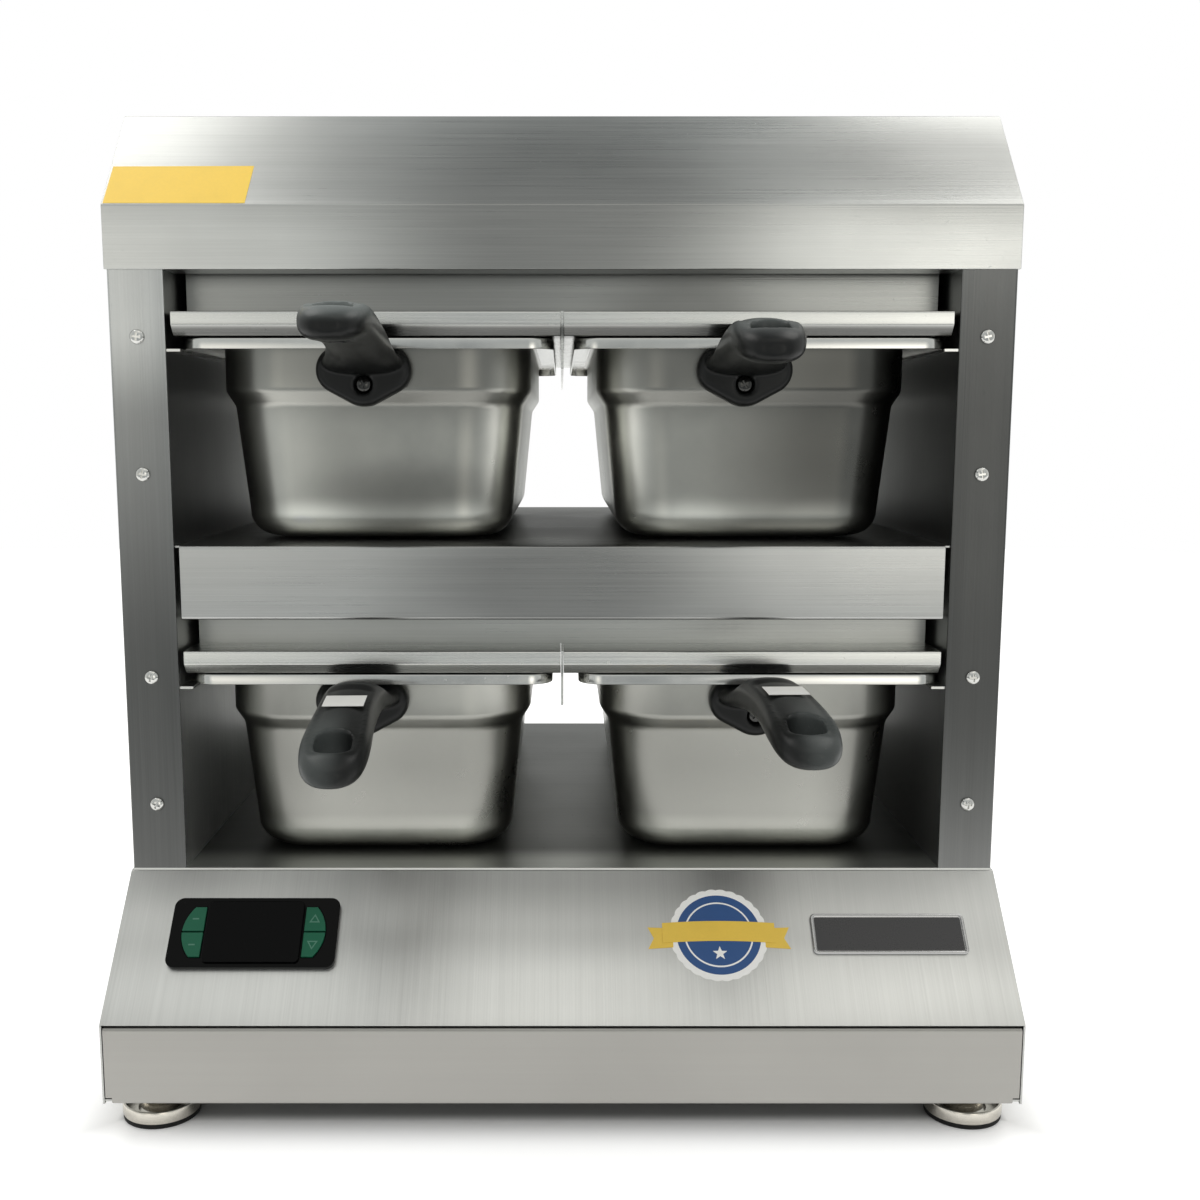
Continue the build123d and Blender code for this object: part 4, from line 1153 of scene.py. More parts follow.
@dataclass
class PostScrews:
    """Round-headed cross-slot screws in the front and rear posts.

    Attributes:
        heights: Their heights over the lower deck.
        head: Sizes of one head.
        twist: Turn of each screw from the one before, in radians.
    """

    heights: tuple[float, ...] = (32.5, 95.7, 193.5, 257.5)
    head: CrossHead = CrossHead(3.5, 2.2, 3.35, 1.9, 5.0, 3.9, 0.95, 1.0, 0.35)
    twist: float = 0.83

    def build(self) -> None:
        """Make all sixteen screws as one piece, each turned its own way."""
        head = self.head.mesh("post_screw")
        shape = Shape()
        turn = 0.0
        for side in SIDES:
            x = side * (OPENING_HALF + CASE_HALF) / 2.0
            for height in self.heights:
                for y, tilt in ((FRONT, math.pi / 2), (REAR, -math.pi / 2)):
                    turn += self.twist
                    place = Matrix.Translation((x, y, FLOOR + height))
                    shape.merge(head, place @ Matrix.Rotation(tilt, 4, "X") @ Matrix.Rotation(turn, 4, "Z"))
        nodes = ("post_screws",)
        shape.piece("post_screw_heads", BRIGHT_METAL, nodes=nodes, bevel=0.08, slot="bright_metal")


@dataclass
class Base:
    """Base casing: sloped panel, upright lip, cheeks and what is fixed to the slope.

    Attributes:
        slope_length: Length of the slope down to its joint with the lip.
        seam: Open joint between the slope and the lip.
        side_seam: Open joint between the lip and the cheeks.
        notch: Size of the relief notches at the lip's lower corners.
        hem: Depth of the lip's turned-back top edge.
        return_run: Depth of the lip's return underneath.
        slope_return: Depth of the slope's return under the posts.
        post_width: Width of the top flanges beside the floor plate.
        panel_drop: Middle of the controller, the badge and the seal, down the slope.
        controller_x: X of the controller.
        cut_out: Width and height of the controller's cut-out.
        badge_x: X of the badge.
        badge: Width and height of the badge.
        badge_rim: Width of the badge's rim, both sides together.
        seal_x: X of the seal.
        seal_radii: Radii of the seal's backing, disc, ring and centre.
        key_spot: Middle of the upper right key, from the controller's middle.
        key_faces: Heights of the keys' faces and of the marks on them.
    """

    slope_length: float = 79.0
    seam: float = 1.0
    side_seam: float = 0.9
    notch: float = 3.0
    hem: float = 5.0
    return_run: float = 7.0
    slope_return: float = 10.0
    post_width: float = 26.2
    panel_drop: float = 34.2
    controller_x: float = -147.4
    cut_out: Point = (71.0, 29.0)
    badge_x: float = 156.4
    badge: Point = (74.0, 20.5)
    badge_rim: float = 3.6
    seal_x: float = 75.0
    seal_radii: tuple[float, ...] = (23.0, 20.3, 16.6, 15.8)
    key_spot: Point = (28.6, 6.6)
    key_faces: Point = (3.2, 3.26)

    def build(self) -> None:
        """Make the casing, the badge, the seal and the marks on the keys."""
        self.build_slope()
        self.build_lip()
        self.build_cheeks()
        self.build_badge()
        self.build_seal()
        self.build_key_marks()

    def panel(self, name: str, mesh: bpy.types.Mesh, finish: Finish) -> None:
        """Make one sheet of the casing."""
        dress(name, mesh, finish, nodes=("base_casing",), slot="brushed_stainless")

    def build_slope(self) -> None:
        """Make the sloped panel with the controller's cut-out."""
        foot = Vector((0.0, FRONT, BASE_TOP)) + SLOPE_RUN * self.slope_length
        profile = [(FRONT + self.slope_return, BASE_TOP), (FRONT, BASE_TOP), (foot.y, foot.z)]
        shape = Shape()
        shape.fold(profile, -SKIN_HALF, SKIN_HALF, 1.5)
        tool = Shape()
        place = on_slope(self.controller_x, self.panel_drop)
        tool.slab(rounded(*self.cut_out, 0.5, 2), place, -2 * CLEAR, 2 * CLEAR)
        self.panel("base_slope", cut("base_slope", shape, [tool]), SLOPE_STEEL)

    def build_lip(self) -> None:
        """Make the upright lip with its notches."""
        half = CASE_HALF - self.side_seam + SHEET / 2
        top = LIP_TOP - self.seam
        back = LIP_Y + self.return_run
        shape = Shape()
        profile = [(LIP_Y + self.hem, top), (LIP_Y, top), (LIP_Y, BASE_BOTTOM), (back, BASE_BOTTOM)]
        shape.fold(profile, -half, half, 1.6)
        tools = []
        for side in SIDES:
            tool = Shape()
            tool.block(
                (side * (half - self.notch), LIP_Y - CLEAR, BASE_BOTTOM - CLEAR),
                (side * (half + CLEAR), back + CLEAR, BASE_BOTTOM + self.notch),
            )
            tools.append(tool)
        self.panel("base_lip", cut("base_lip", shape, tools), BASE_LIP_STEEL)

    def build_cheeks(self) -> None:
        """Make the cheeks with their returns underneath and their top flanges."""
        shape = Shape()
        shape.cheeks(
            [
                (LIP_Y + 0.3, BASE_BOTTOM), (LIP_Y + 0.3, LIP_TOP - 0.3), (FRONT, BASE_TOP - 1.2),
                (REAR, BASE_TOP - 1.2), (REAR, BASE_BOTTOM),
            ]
        )
        for side in SIDES:
            shape.block(
                (side * (SKIN_HALF - self.return_run), LIP_Y + 8.0, BASE_BOTTOM),
                (side * (SKIN_HALF - SHEET), REAR - SHEET, BASE_BOTTOM + SHEET),
            )
            shape.block(
                (side * (SKIN_HALF - self.post_width), FRONT + self.slope_return, BASE_TOP - SHEET),
                (side * SKIN_HALF, REAR, BASE_TOP),
            )
        self.panel("base_cheeks", shape.data("base_cheeks"), SIDE_STEEL)

    def build_badge(self) -> None:
        """Make the blank badge: a cast rim with a rounded edge round a dark sunk field."""
        place = on_slope(self.badge_x, self.panel_drop)
        width, height = self.badge
        rings = []
        for grow, rise in ((0.0, 0.0), (0.0, 1.0), (-0.35, 1.4), (-0.8, 1.5), (-1.3, 1.35), (-1.7, 1.0)):
            outline = rounded(width + 2 * grow, height + 2 * grow, max(2.4 + grow, 0.6))
            rings.append([place @ Vector((a, b, rise)) for a, b in outline])
        shape = Shape()
        shape.loft(rings)
        shape.piece("badge_blank", BADGE_METAL, nodes=("badge_plate",), bevel=0.0, slot="badge_metal")
        enamel = Shape()
        enamel.slab(rounded(width - self.badge_rim, height - self.badge_rim, 0.8), place, 0.95, 1.08)
        enamel.piece("badge_field", BADGE_FIELD, bevel=0.05)

    def build_seal(self) -> None:
        """Make a generic round seal: scalloped rim, rings, a star and a folded ribbon."""
        place = on_slope(self.seal_x, self.panel_drop)
        backing, disc, ring, centre = self.seal_radii
        scallops = 28
        wavy = [polar(backing + 0.6 * abs(math.sin(a * scallops / 2.0)), a) for a in around(scallops * 8)]
        tips = [polar(1.5 if i % 2 else 3.6, math.pi / 2.0 + math.pi * i / 5.0) for i in range(10)]
        star = [(x, y - 9.6) for x, y in tips]
        tail = [(22.0, -6.6), (34.0, -7.4), (31.2, -2.0), (34.0, 3.6), (22.0, 3.2)]
        tails = ([(-x, y) for x, y in reversed(tail)], tail)
        steps = [-27.0 + 54.0 * i / 24 for i in range(25)]
        edges = [(x, -4.6) for x in steps] + [(x, 5.6) for x in reversed(steps)]
        band = [(x, y + 1.2 * math.cos(math.pi * x / 60.0)) for x, y in edges]
        for name, finish, low, high, outlines in (
            ("seal_backing", SEAL_WHITE, 0.02, 0.14, (wavy,)),
            ("seal_disc", SEAL_BLUE, 0.14, 0.19, (circle(disc, 72),)),
            ("seal_ring", SEAL_WHITE, 0.19, 0.23, (circle(ring, 72),)),
            ("seal_centre", SEAL_BLUE, 0.23, 0.27, (circle(centre, 72),)),
            ("seal_star", SEAL_WHITE, 0.27, 0.31, (star,)),
            ("seal_tails", SEAL_YELLOW, 0.03, 0.17, tails),
            ("seal_ribbon", SEAL_YELLOW, 0.31, 0.40, (band,)),
        ):
            sticker(name, finish, place, low, high, *outlines)

    def build_key_marks(self) -> None:
        """Make the small raised arrowheads on the right keys, and short bars on the left ones."""
        panel = on_slope(self.controller_x, self.panel_drop)
        across, up = self.key_spot
        face, top = self.key_faces
        for side_name, side in (("right", 1.0), ("left", -1.0)):
            for level, half in (("upper", 1.0), ("lower", -1.0)):
                place = panel @ Matrix.Translation((side * across, half * up, 0.0))
                shape = Shape()
                if side > 0:
                    outer = [(-2.6, -1.9 * half), (2.6, -1.9 * half), (0.0, 2.5 * half)]
                    inner = [(-1.6, -1.3 * half), (1.6, -1.3 * half), (0.0, 1.4 * half)]
                    rows = ((inner, face), (inner, top), (outer, top), (outer, face), (inner, face))
                    shape.loft([[place @ Vector((a, b, h)) for a, b in row] for row, h in rows], caps=False)
                else:
                    shape.slab(rounded(3.2, 0.7, 0.3, 3), place, face, top)
                bmesh.ops.remove_doubles(shape.mesh, verts=shape.mesh.verts, dist=1e-5)
                key = f"key_{side_name}_{level}"
                shape.piece(f"mark_{key}", KEY_MARK, body=key, bevel=0.0)


@dataclass
class MiddleShelf:
    """Middle deck with deep lips, turned back underneath.

    Attributes:
        end_gap: Gap between a lip's end and the post.
        return_run: Depth of the turned-back flanges.
    """

    end_gap: float = 2.5
    return_run: float = 16.0

    def build(self) -> None:
        """Make the deck and its lips."""
        half = OPENING_HALF - self.end_gap
        shape = Shape()
        profile = [
            (REAR - self.return_run, SHELF_BOTTOM), (REAR, SHELF_BOTTOM), (REAR, SHELF_TOP),
            (FRONT, SHELF_TOP), (FRONT, SHELF_BOTTOM), (FRONT + self.return_run, SHELF_BOTTOM),
        ]
        shape.fold(profile, -half, half, 1.5)
        for side in SIDES:
            corner = (side * OPENING_HALF, REAR - 1.5, SHELF_TOP)
            shape.block((side * half, FRONT + 1.5, SHELF_TOP - SHEET), corner)
        shape.piece("middle_shelf", LIP_STEEL, nodes=("mid_shelf",), bevel=0.2, slot="brushed_stainless")


@dataclass
class HotPlate:
    """Folded tray over a pan: upright face, crease, bevelled lip and top flanges.

    Attributes:
        side: -1 on the left, 1 on the right.
        node: The CAD node that it stands for.
        bottom: Height of its underside.
        height: Height of the tray.
        face: Height of the upright face.
        bevel_run: Depth of the bevelled lip.
        lip_run: Depth of the top flanges.
        half_gap: Half of the gap between two trays.
        end_gap: Gap between a tray's outer end and the side wall.
    """

    side: float
    node: str
    bottom: float
    height: float = 11.3
    face: float = 6.3
    bevel_run: float = 4.0
    lip_run: float = 28.0
    half_gap: float = 0.75
    end_gap: float = 2.7

    def build(self) -> None:
        """Make the tray and its side walls."""
        x0, x1 = sorted((self.side * self.half_gap, self.side * (OPENING_HALF - self.end_gap)))
        top = self.bottom + self.height
        crease = top - self.face
        profile = [
            (REAR - self.lip_run, top), (REAR, top), (REAR, crease),
            (REAR - self.bevel_run, self.bottom), (FRONT + self.bevel_run, self.bottom),
            (FRONT, crease), (FRONT, top), (FRONT + self.lip_run, top),
        ]
        shape = Shape()
        shape.fold(profile[::-1], x0, x1, 1.1)
        near, far = FRONT + self.lip_run, REAR - self.lip_run
        for wall_x in (x0, x1 - SHEET):
            shape.block((wall_x, near, self.bottom + SHEET), (wall_x + SHEET, far, top))
        shape.piece(f"tray_{self.node}", RAIL_STEEL, nodes=(self.node,), bevel=0.15, slot="satin_stainless")


@dataclass
class Pan:
    """Pressed food pan with its handle, screw and label.

    Attributes:
        name: Deck and side, as in the CAD nodes.
        centre_x: X of its middle.
        rim_top: Height of its rim.
        shift: How far the handle stands to the right of the pan's middle.
        yaw: Turn of the arm to the right, in degrees.
        lift: Tilt of the arm upward, in degrees.
        label: Whether a blank label is on the arm.
        width: Width over the rim.
        length: Length over the rim.
        depth: Depth under the rim's top.
        wall: Thickness of the sheet.
        overhang: How far the rim stands out from the bowl.
        turn_down: Height of the rim's turned-down edge.
        rim_corner: Corner radius of the rim.
        band_corner: Corner radius of the bowl.
        band_depth: Depth of the upright band under the rim.
        step_depth: Height of the stacking step.
        step_inset: How far the bowl draws in at the step.
        taper: How far the bowl draws in under the step.
        bottom_radius: Radius between the wall and the bottom.
        stations: Reach, top, underside and width of the arm, from the pan's wall out.
        shoulders: Middles and radii of the three circles round the handle's foot.
        panel: Start, end and depth of the sunk panel on the arm's top.
        hole: Reach, width, length and corner radius of the hanging hole.
        label_spot: Half width, start and end of the label.
        screw: Sizes of the handle's screw.
        screw_seat: Drop of the screw under the rim's edge, and its seat's distance from the wall.
    """

    name: str
    centre_x: float
    rim_top: float
    shift: float
    yaw: float
    lift: float
    label: bool = False
    width: float = 177.0
    length: float = 327.0
    depth: float = 96.0
    wall: float = 0.8
    overhang: float = 11.5
    turn_down: float = 5.0
    rim_corner: float = 12.0
    band_corner: float = 36.0
    band_depth: float = 24.7
    step_depth: float = 6.0
    step_inset: float = 4.5
    taper: float = 6.5
    bottom_radius: float = 12.5
    stations: tuple[Quad, ...] = (
        (1.0, -0.8, -12.6, 42.0), (8.0, -0.7, -12.0, 38.5), (17.0, -0.1, -10.9, 34.0),
        (36.0, 8.5, -9.0, 28.5), (76.0, 11.0, -7.5, 27.0), (112.0, 8.5, -9.5, 29.0),
        (124.0, 5.6, -10.8, 27.6), (132.0, 2.2, -11.2, 23.5), (137.0, -1.2, -10.2, 15.5),
        (138.8, -3.4, -8.4, 7.0),
    )
    shoulders: tuple[Triple, ...] = ((-11.5, -9.6, 11.5), (11.5, -9.6, 11.5), (0.0, -13.4, 13.6))
    panel: Triple = (44.0, 131.0, 1.5)
    hole: Quad = (120.0, 15.0, 20.0, 7.2)
    label_spot: Triple = (9.0, 67.5, 84.5)
    screw: CrossHead = CrossHead(4.2, 2.6, 4.0, 1.95, 7.5, 4.2, 1.0, 1.3, 0.5)
    screw_seat: Point = (16.5, 5.0)

    @property
    def body(self) -> str:
        """Body that the pan's pieces move with."""
        return f"pan_{self.name}"

    @property
    def edge(self) -> float:
        """Height of the rim's lower edge."""
        return self.rim_top - self.turn_down

    def build(self) -> None:
        """Make the bowl, the handle, the screw and the label."""
        self.build_bowl()
        self.build_handle()
        self.build_screw()
        if self.label:
            self.build_label()

    def ring(self, inset: float, drop: float, corner: float) -> list[Vector]:
        """Give a rounded rectangle, drawn in from the rim and down from its top.

        Args:
            inset: How far it is drawn in from the rim.
            drop: Its depth under the rim's top.
            corner: Radius of its corners.

        Returns:
            The points of the rectangle.
        """
        outline = rounded(self.width - 2 * inset, self.length - 2 * inset, max(corner, 0.4), 10)
        return [Vector((self.centre_x + a, MIDDLE + b, self.rim_top - drop)) for a, b in outline]

    def skin(self, inset: float) -> list[Triple]:
        """Give one skin of the bowl from the rim down, as inset, drop and corner radius.

        Args:
            inset: Distance of the skin from the outside of the sheet.

        Returns:
            The rows of the skin.
        """
        start = self.overhang + inset
        corner = self.band_corner - inset
        band = self.band_depth
        step = band + self.step_depth
        soft = 2.2
        rows = []
        for k in range(5):
            c, s = polar(1.0, math.radians(90.0 * k / 4))
            rows.append((start - soft * (1 - s), inset + soft * (1 - c), corner))
        rows.append((start, band - 2.4, corner))
        rows.append((start + 0.1, band - 1.0, corner))
        rows.append((start + 0.9, band + 0.7, corner - 0.9))
        start += self.step_inset
        corner -= self.step_inset
        rows.append((start - 1.0, step - 1.4, corner + 1.0))
        rows.append((start - 0.15, step, corner))
        rows.append((start + 0.25, step + 2.0, corner))
        radius = self.bottom_radius - inset
        floor_drop = self.depth - inset
        wall_end = floor_drop - radius
        slide = self.taper * (wall_end - step) / (self.depth - step)
        for part in (0.35, 0.7, 1.0):
            slid = slide * part
            rows.append((start + slid, step + (wall_end - step) * part, corner - slid * 0.4))
        for k in range(1, 9):
            c, s = polar(radius, math.radians(90.0 * k / 8))
            out = radius - c
            rows.append((start + slide + out, wall_end + s, corner - self.taper * 0.4 - out * 0.8))
        rows.append((start + slide + radius + 14.0, floor_drop, 6.0))
        return rows

    def build_bowl(self) -> None:
        """Make the bowl as one closed skin, its rim in a lighter copy of the pan steel as a painted
        highlight.
        """
        wall, down, corner = self.wall, self.turn_down, self.rim_corner
        inner, outer = self.skin(wall), self.skin(0.0)
        inner[:5] = [(i, d - wall, c) for i, d, c in inner[:5]]
        outer[:5] = [(i, d + wall, c) for i, d, c in outer[:5]]
        mouth, mouth_corner = self.overhang - 3.4, self.band_corner - 8.0
        rim = [
            (mouth, 0.0, mouth_corner), (3.0, 0.0, corner), (0.9, 0.0, corner - 0.9),
            (0.35, 0.12, corner - 0.35), (0.0, 0.8, corner), (0.0, down - 0.2, corner),
            (0.2, down, corner - 0.2), (wall, down, corner - wall), (wall, wall, corner - wall),
            (mouth, wall, mouth_corner),
        ]
        shape = Shape()
        shape.loft([self.ring(*row) for row in inner[::-1] + rim + outer])
        name, nodes = f"bowl_{self.name}", (self.body,)
        bowl = shape.piece(name, PAN_STEEL, body=self.body, nodes=nodes, bevel=0.0, slot="pan_stainless")
        # The rim's faces get the lighter rim steel, a painted highlight.
        bowl.data.materials.append(RIM_STEEL.material())
        lowest = (self.edge - 0.5) * MM
        edge_x, edge_y = ((size / 2 - self.overhang + 2.4) * MM for size in (self.width, self.length))
        for face in bowl.data.polygons:
            x, y, z = face.center
            outside = abs(x - self.centre_x * MM) > edge_x or abs(y - MIDDLE * MM) > edge_y
            if z > lowest and outside:
                face.material_index = 1

    def directions(self) -> tuple[Vector, Vector, Vector, Vector]:
        """Give the arm's root and its directions ahead, across and upward.

        Returns:
            The root, and the three directions.
        """
        yaw, lift = math.radians(self.yaw), math.radians(self.lift)
        ahead = Vector((math.sin(yaw) * math.cos(lift), -math.cos(yaw) * math.cos(lift), math.sin(lift)))
        across = Vector((math.cos(yaw), math.sin(yaw), 0.0))
        root = Vector((self.centre_x + self.shift, WALL_Y, self.edge))
        return root, ahead, across, ahead.cross(across)

    def foot_place(self) -> Matrix:
        """Place on the pan's wall under the arm's root, facing out."""
        return frame_at(self.directions()[0], ACROSS, Vector((0.0, -1.0, 0.0)))

    def station(self, reach: float) -> Triple:
        """Give the arm's top, underside and width at a reach, on a smooth curve.

        Args:
            reach: Distance from the arm's root.

        Returns:
            The heights of the top and the underside, and the width.
        """
        rows = self.stations
        k = max(i for i in range(len(rows) - 1) if rows[i][0] <= reach or i == 0)
        r0, r1 = rows[k], rows[k + 1]
        before = rows[max(k - 1, 0)]
        after = rows[min(k + 2, len(rows) - 1)]
        span = r1[0] - r0[0]
        t = (reach - r0[0]) / span
        result = []
        for column in (1, 2, 3):
            m0 = (r1[column] - before[column]) / max(r1[0] - before[0], 1e-6) * span
            m1 = (after[column] - r0[column]) / max(after[0] - r0[0], 1e-6) * span
            h00 = 2 * t**3 - 3 * t**2 + 1
            h10 = t**3 - 2 * t**2 + t
            h01 = -2 * t**3 + 3 * t**2
            h11 = t**3 - t**2
            result.append(h00 * r0[column] + h10 * m0 + h01 * r1[column] + h11 * m1)
        return result[0], result[1], result[2]

    def arm_ring(self, reach: float) -> list[Vector]:
        """Give one section of the arm, with a sunk flat panel on its top along the grip.

        Args:
            reach: Distance from the arm's root.

        Returns:
            The points of the section.
        """
        root, ahead, across, upward = self.directions()
        top, under, width = self.station(reach)
        middle, half_height, half_width = (top + under) / 2.0, (top - under) / 2.0, width / 2.0
        start, end, depth = self.panel
        sink = depth * max(0.0, min(1.0, (reach - start) / 8.0, (end - reach) / 6.0))
        squareness = 0.8
        points = []
        for angle in around(56):
            c, s = polar(1.0, angle)
            a = math.copysign(abs(c) ** squareness, c) * half_width
            b = math.copysign(abs(s) ** squareness, s) * half_height
            if s > 0:
                b -= sink * max(0.0, min(1.0, (0.78 - abs(a) / half_width) / 0.12))
            points.append(root + ahead * reach + across * a + upward * (middle + b))
        return points

    def build_handle(self) -> None:
        """Make the moulded handle: fan-shaped foot, arm, hanging hole and screw recess."""
        root, ahead, across, upward = self.directions()
        reaches = [1.0 + 1.5 * i for i in range(84)] + [127.5 + 1.5 * i for i in range(6)]
        arm = Shape()
        arm.loft([self.arm_ring(reach) for reach in reaches + [136.2, 137.2, 138.0, 138.6]])
        reach, width, length, corner = self.hole
        hole = Shape()
        place = frame_at(root + ahead * reach, across, upward)
        hole.slab(rounded(width, length, corner), place, -30.0, 30.0)
        space = Shape()
        low = (root.x - 46.0, WALL_Y - 12.1, self.edge - 0.6)
        space.block(low, (root.x + 46.0, WALL_Y + 4.0, self.edge + 6.0))
        wall = self.foot_place()
        rings = []
        for inset, out in ((0.0, 0.0), (0.0, 4.6), (0.5, 6.2), (1.5, 7.4), (3.0, 8.0)):
            rings.append([wall @ Vector((a, b, out)) for a, b in self.fan_outline(inset)])
        fan = Shape()
        fan.loft(rings)
        drop, seat = self.screw_seat
        recess = Shape()
        recess.slab(circle(4.6, 32), wall @ Matrix.Translation((0.0, -drop, 0.0)), seat, 12.0)
        whole = Shape()
        whole.merge(cut("arm", arm, [hole, space]), Matrix.Identity(4))
        whole.merge(cut("fan", fan, [recess]), Matrix.Identity(4))

        def soften(target: bpy.types.Object) -> None:
            """Melt the arm and the foot together.

            Args:
                target: The object to change.
            """
            remesh = target.modifiers.new("melt", "REMESH")
            remesh.mode = "VOXEL"
            remesh.voxel_size = 0.85
            smooth = target.modifiers.new("soften", "SMOOTH")
            smooth.factor = 0.5
            smooth.iterations = 5

        mesh = evaluated(whole.data("handle_whole"), soften)
        name, node = f"grip_{self.name}", f"handle_{self.name}"
        dress(name, mesh, HANDLE_PLASTIC, self.body, (node,), 0.0, "handle_plastic")

    def fan_outline(self, inset: float) -> list[Point]:
        """Give the outline of the foot: the hull of its circles, drawn in.

        Args:
            inset: How far the outline is drawn in.

        Returns:
            The points of the outline.
        """
        steps = 72
        points = []
        for i in range(steps):
            c, s = polar(1.0, 2.0 * math.pi * (i + 0.5) / steps)
            x, y, radius = max(self.shoulders, key=lambda item: item[0] * c + item[1] * s + item[2])
            points.append((x + (radius - inset) * c, y + (radius - inset) * s))
        return points

    def build_screw(self) -> None:
        """Make the pan-head screw in the foot's recess, with its nut inside the pan."""
        drop, out = self.screw_seat
        seat = self.foot_place() @ Matrix.Translation((0.0, -drop, out))
        shape = Shape()
        shape.merge(self.screw.mesh("screw_head"), seat)
        shape.turned([(2.05, -5.9), (3.1, -5.9), (3.1, -7.9), (2.7, -8.1), (2.05, -8.1)], seat, 24)
        name, nodes = f"screw_{self.name}", (f"handle_screw_{self.name}",)
        # The screw's darker metal is painted shade of the recess.
        shape.piece(name, PAINTED_SHADE_SCREW_METAL, body=self.body, nodes=nodes, bevel=0.06, slot="bright_metal")

    def build_label(self) -> None:
        """Make the blank paper label on the arm's top, following its curve."""
        root, ahead, across, upward = self.directions()
        half, start, end = self.label_spot
        corners = ((-half, start), (half, start), (half, end), (-half, end))
        spots = []
        for (a0, r0), (a1, r1) in zip(corners, corners[1:] + corners[:1]):
            spots += [(a0 + (a1 - a0) * i / 6, r0 + (r1 - r0) * i / 6) for i in range(6)]
        rings = []
        for lift in (0.1, 0.3):
            ring = []
            for a, reach in spots:
                top = self.station(reach)[0] - 1.15
                ring.append(root + ahead * reach + across * a + upward * (top + lift))
            rings.append(ring)
        shape = Shape()
        shape.loft(rings)
        shape.piece(f"arm_label_{self.name}", WHITE_LABEL, body=self.body, bevel=0.0)


@dataclass
class Feet:
    """Turned steel foot cups with rubber pads.

    Attributes:
        places: X and Y of the four feet.
        radius: Outside radius of a cup.
        pad: Thickness of the rubber pad.
        cup: Height of the cup.
        hub: Radius of the hub under the base.
        bolt: Radius of the hole for the bolt.
    """

    places: tuple[Point, ...] = ((-195.0, -132.5), (195.0, -132.5), (-195.0, 196.0), (195.0, 196.0))
    radius: float = 18.5
    pad: float = 2.4
    cup: float = 6.3
    hub: float = 10.0
    bolt: float = 4.2

    def build(self) -> None:
        """Make the cups with their hubs, and the pads."""
        top = self.pad + self.cup
        cups = Shape()
        pads = Shape()
        r = self.radius
        cup = [
            (self.bolt, self.pad + 4.0), (6.7, self.pad + 4.0), (6.7, self.pad), (r - 0.9, self.pad),
            (r - 0.25, self.pad + 0.3), (r, self.pad + 1.0), (r, top - 1.1), (r - 0.3, top - 0.3),
            (r - 0.9, top), (r - 1.3, top - 0.25), (r - 1.5, top - 1.0), (r - 2.2, self.pad + 2.2),
            (r - 3.4, self.pad + 1.5), (self.hub + 1.2, self.pad + 1.5), (self.hub, self.pad + 2.4),
            (self.hub, BASE_BOTTOM + SHEET - 0.05), (self.bolt, BASE_BOTTOM + SHEET - 0.05),
        ]
        rubber = [
            (0.5, 0.0), (r - 1.3, 0.0), (r - 0.5, 0.35), (r - 0.3, 1.0), (r - 0.3, self.pad - 0.02),
            (0.5, self.pad - 0.02),
        ]
        for x, y in self.places:
            place = Matrix.Translation((x, y, 0.0))
            cups.turned(cup, place, 64)
            pads.turned(rubber, place, 64)
        cups.piece("foot_cup_set", FOOT_METAL, nodes=("foot_cups",), bevel=0.0, slot="bright_metal")
        pads.piece("foot_pad_set", FOOT_RUBBER, nodes=("foot_pads",), bevel=0.0, slot="foot_rubber")


@dataclass
class InnerParts:
    """Finishes of the CAD nodes that stay as they are.

    Attributes:
        finishes: Finishes of the nodes whose material slot doesn't say enough.
    """

    finishes: tuple[tuple[Finish, tuple[str, ...]], ...] = (
        (DECK_STEEL, ("floor_plate",)),
        (LINER_STEEL, ("ceiling_plate", "side_liner_left", "side_liner_right")),
        (HOUSING_STEEL, ("mid_housing", "top_housing")),
        (RAIL_STEEL, ("pan_guides_lower", "pan_guides_upper")),
        (SIDE_STEEL, ("base_rear_panel", "base_bottom_plate")),
        (WINDOW_BLACK, ("controller_window",)),
        (GLOSS_BLACK, ("controller_bezel",)),
        (INNER_PLASTIC, ("power_inlet",)),
        (BRIGHT_METAL, ("temperature_probe", "foot_bolts")),
    )

    def dress(self, nodes: dict[str, bpy.types.Object], slots: dict[str, str]) -> None:
        """Give every CAD node its finish.

        Args:
            nodes: The CAD nodes by name.
            slots: Material slot of each node.
        """
        own = {name: finish for finish, names in self.finishes for name in names}
        for name, node in nodes.items():
            finish = own.get(name) or SLOT_FINISH.get(slots.get(name, ""), LIP_STEEL)
            if not node.material_slots:
                node.data.materials.append(finish.material())
            for slot in node.material_slots:
                slot.material = finish.material()
            LOG.info("dressed %s in %s", name, finish.name)


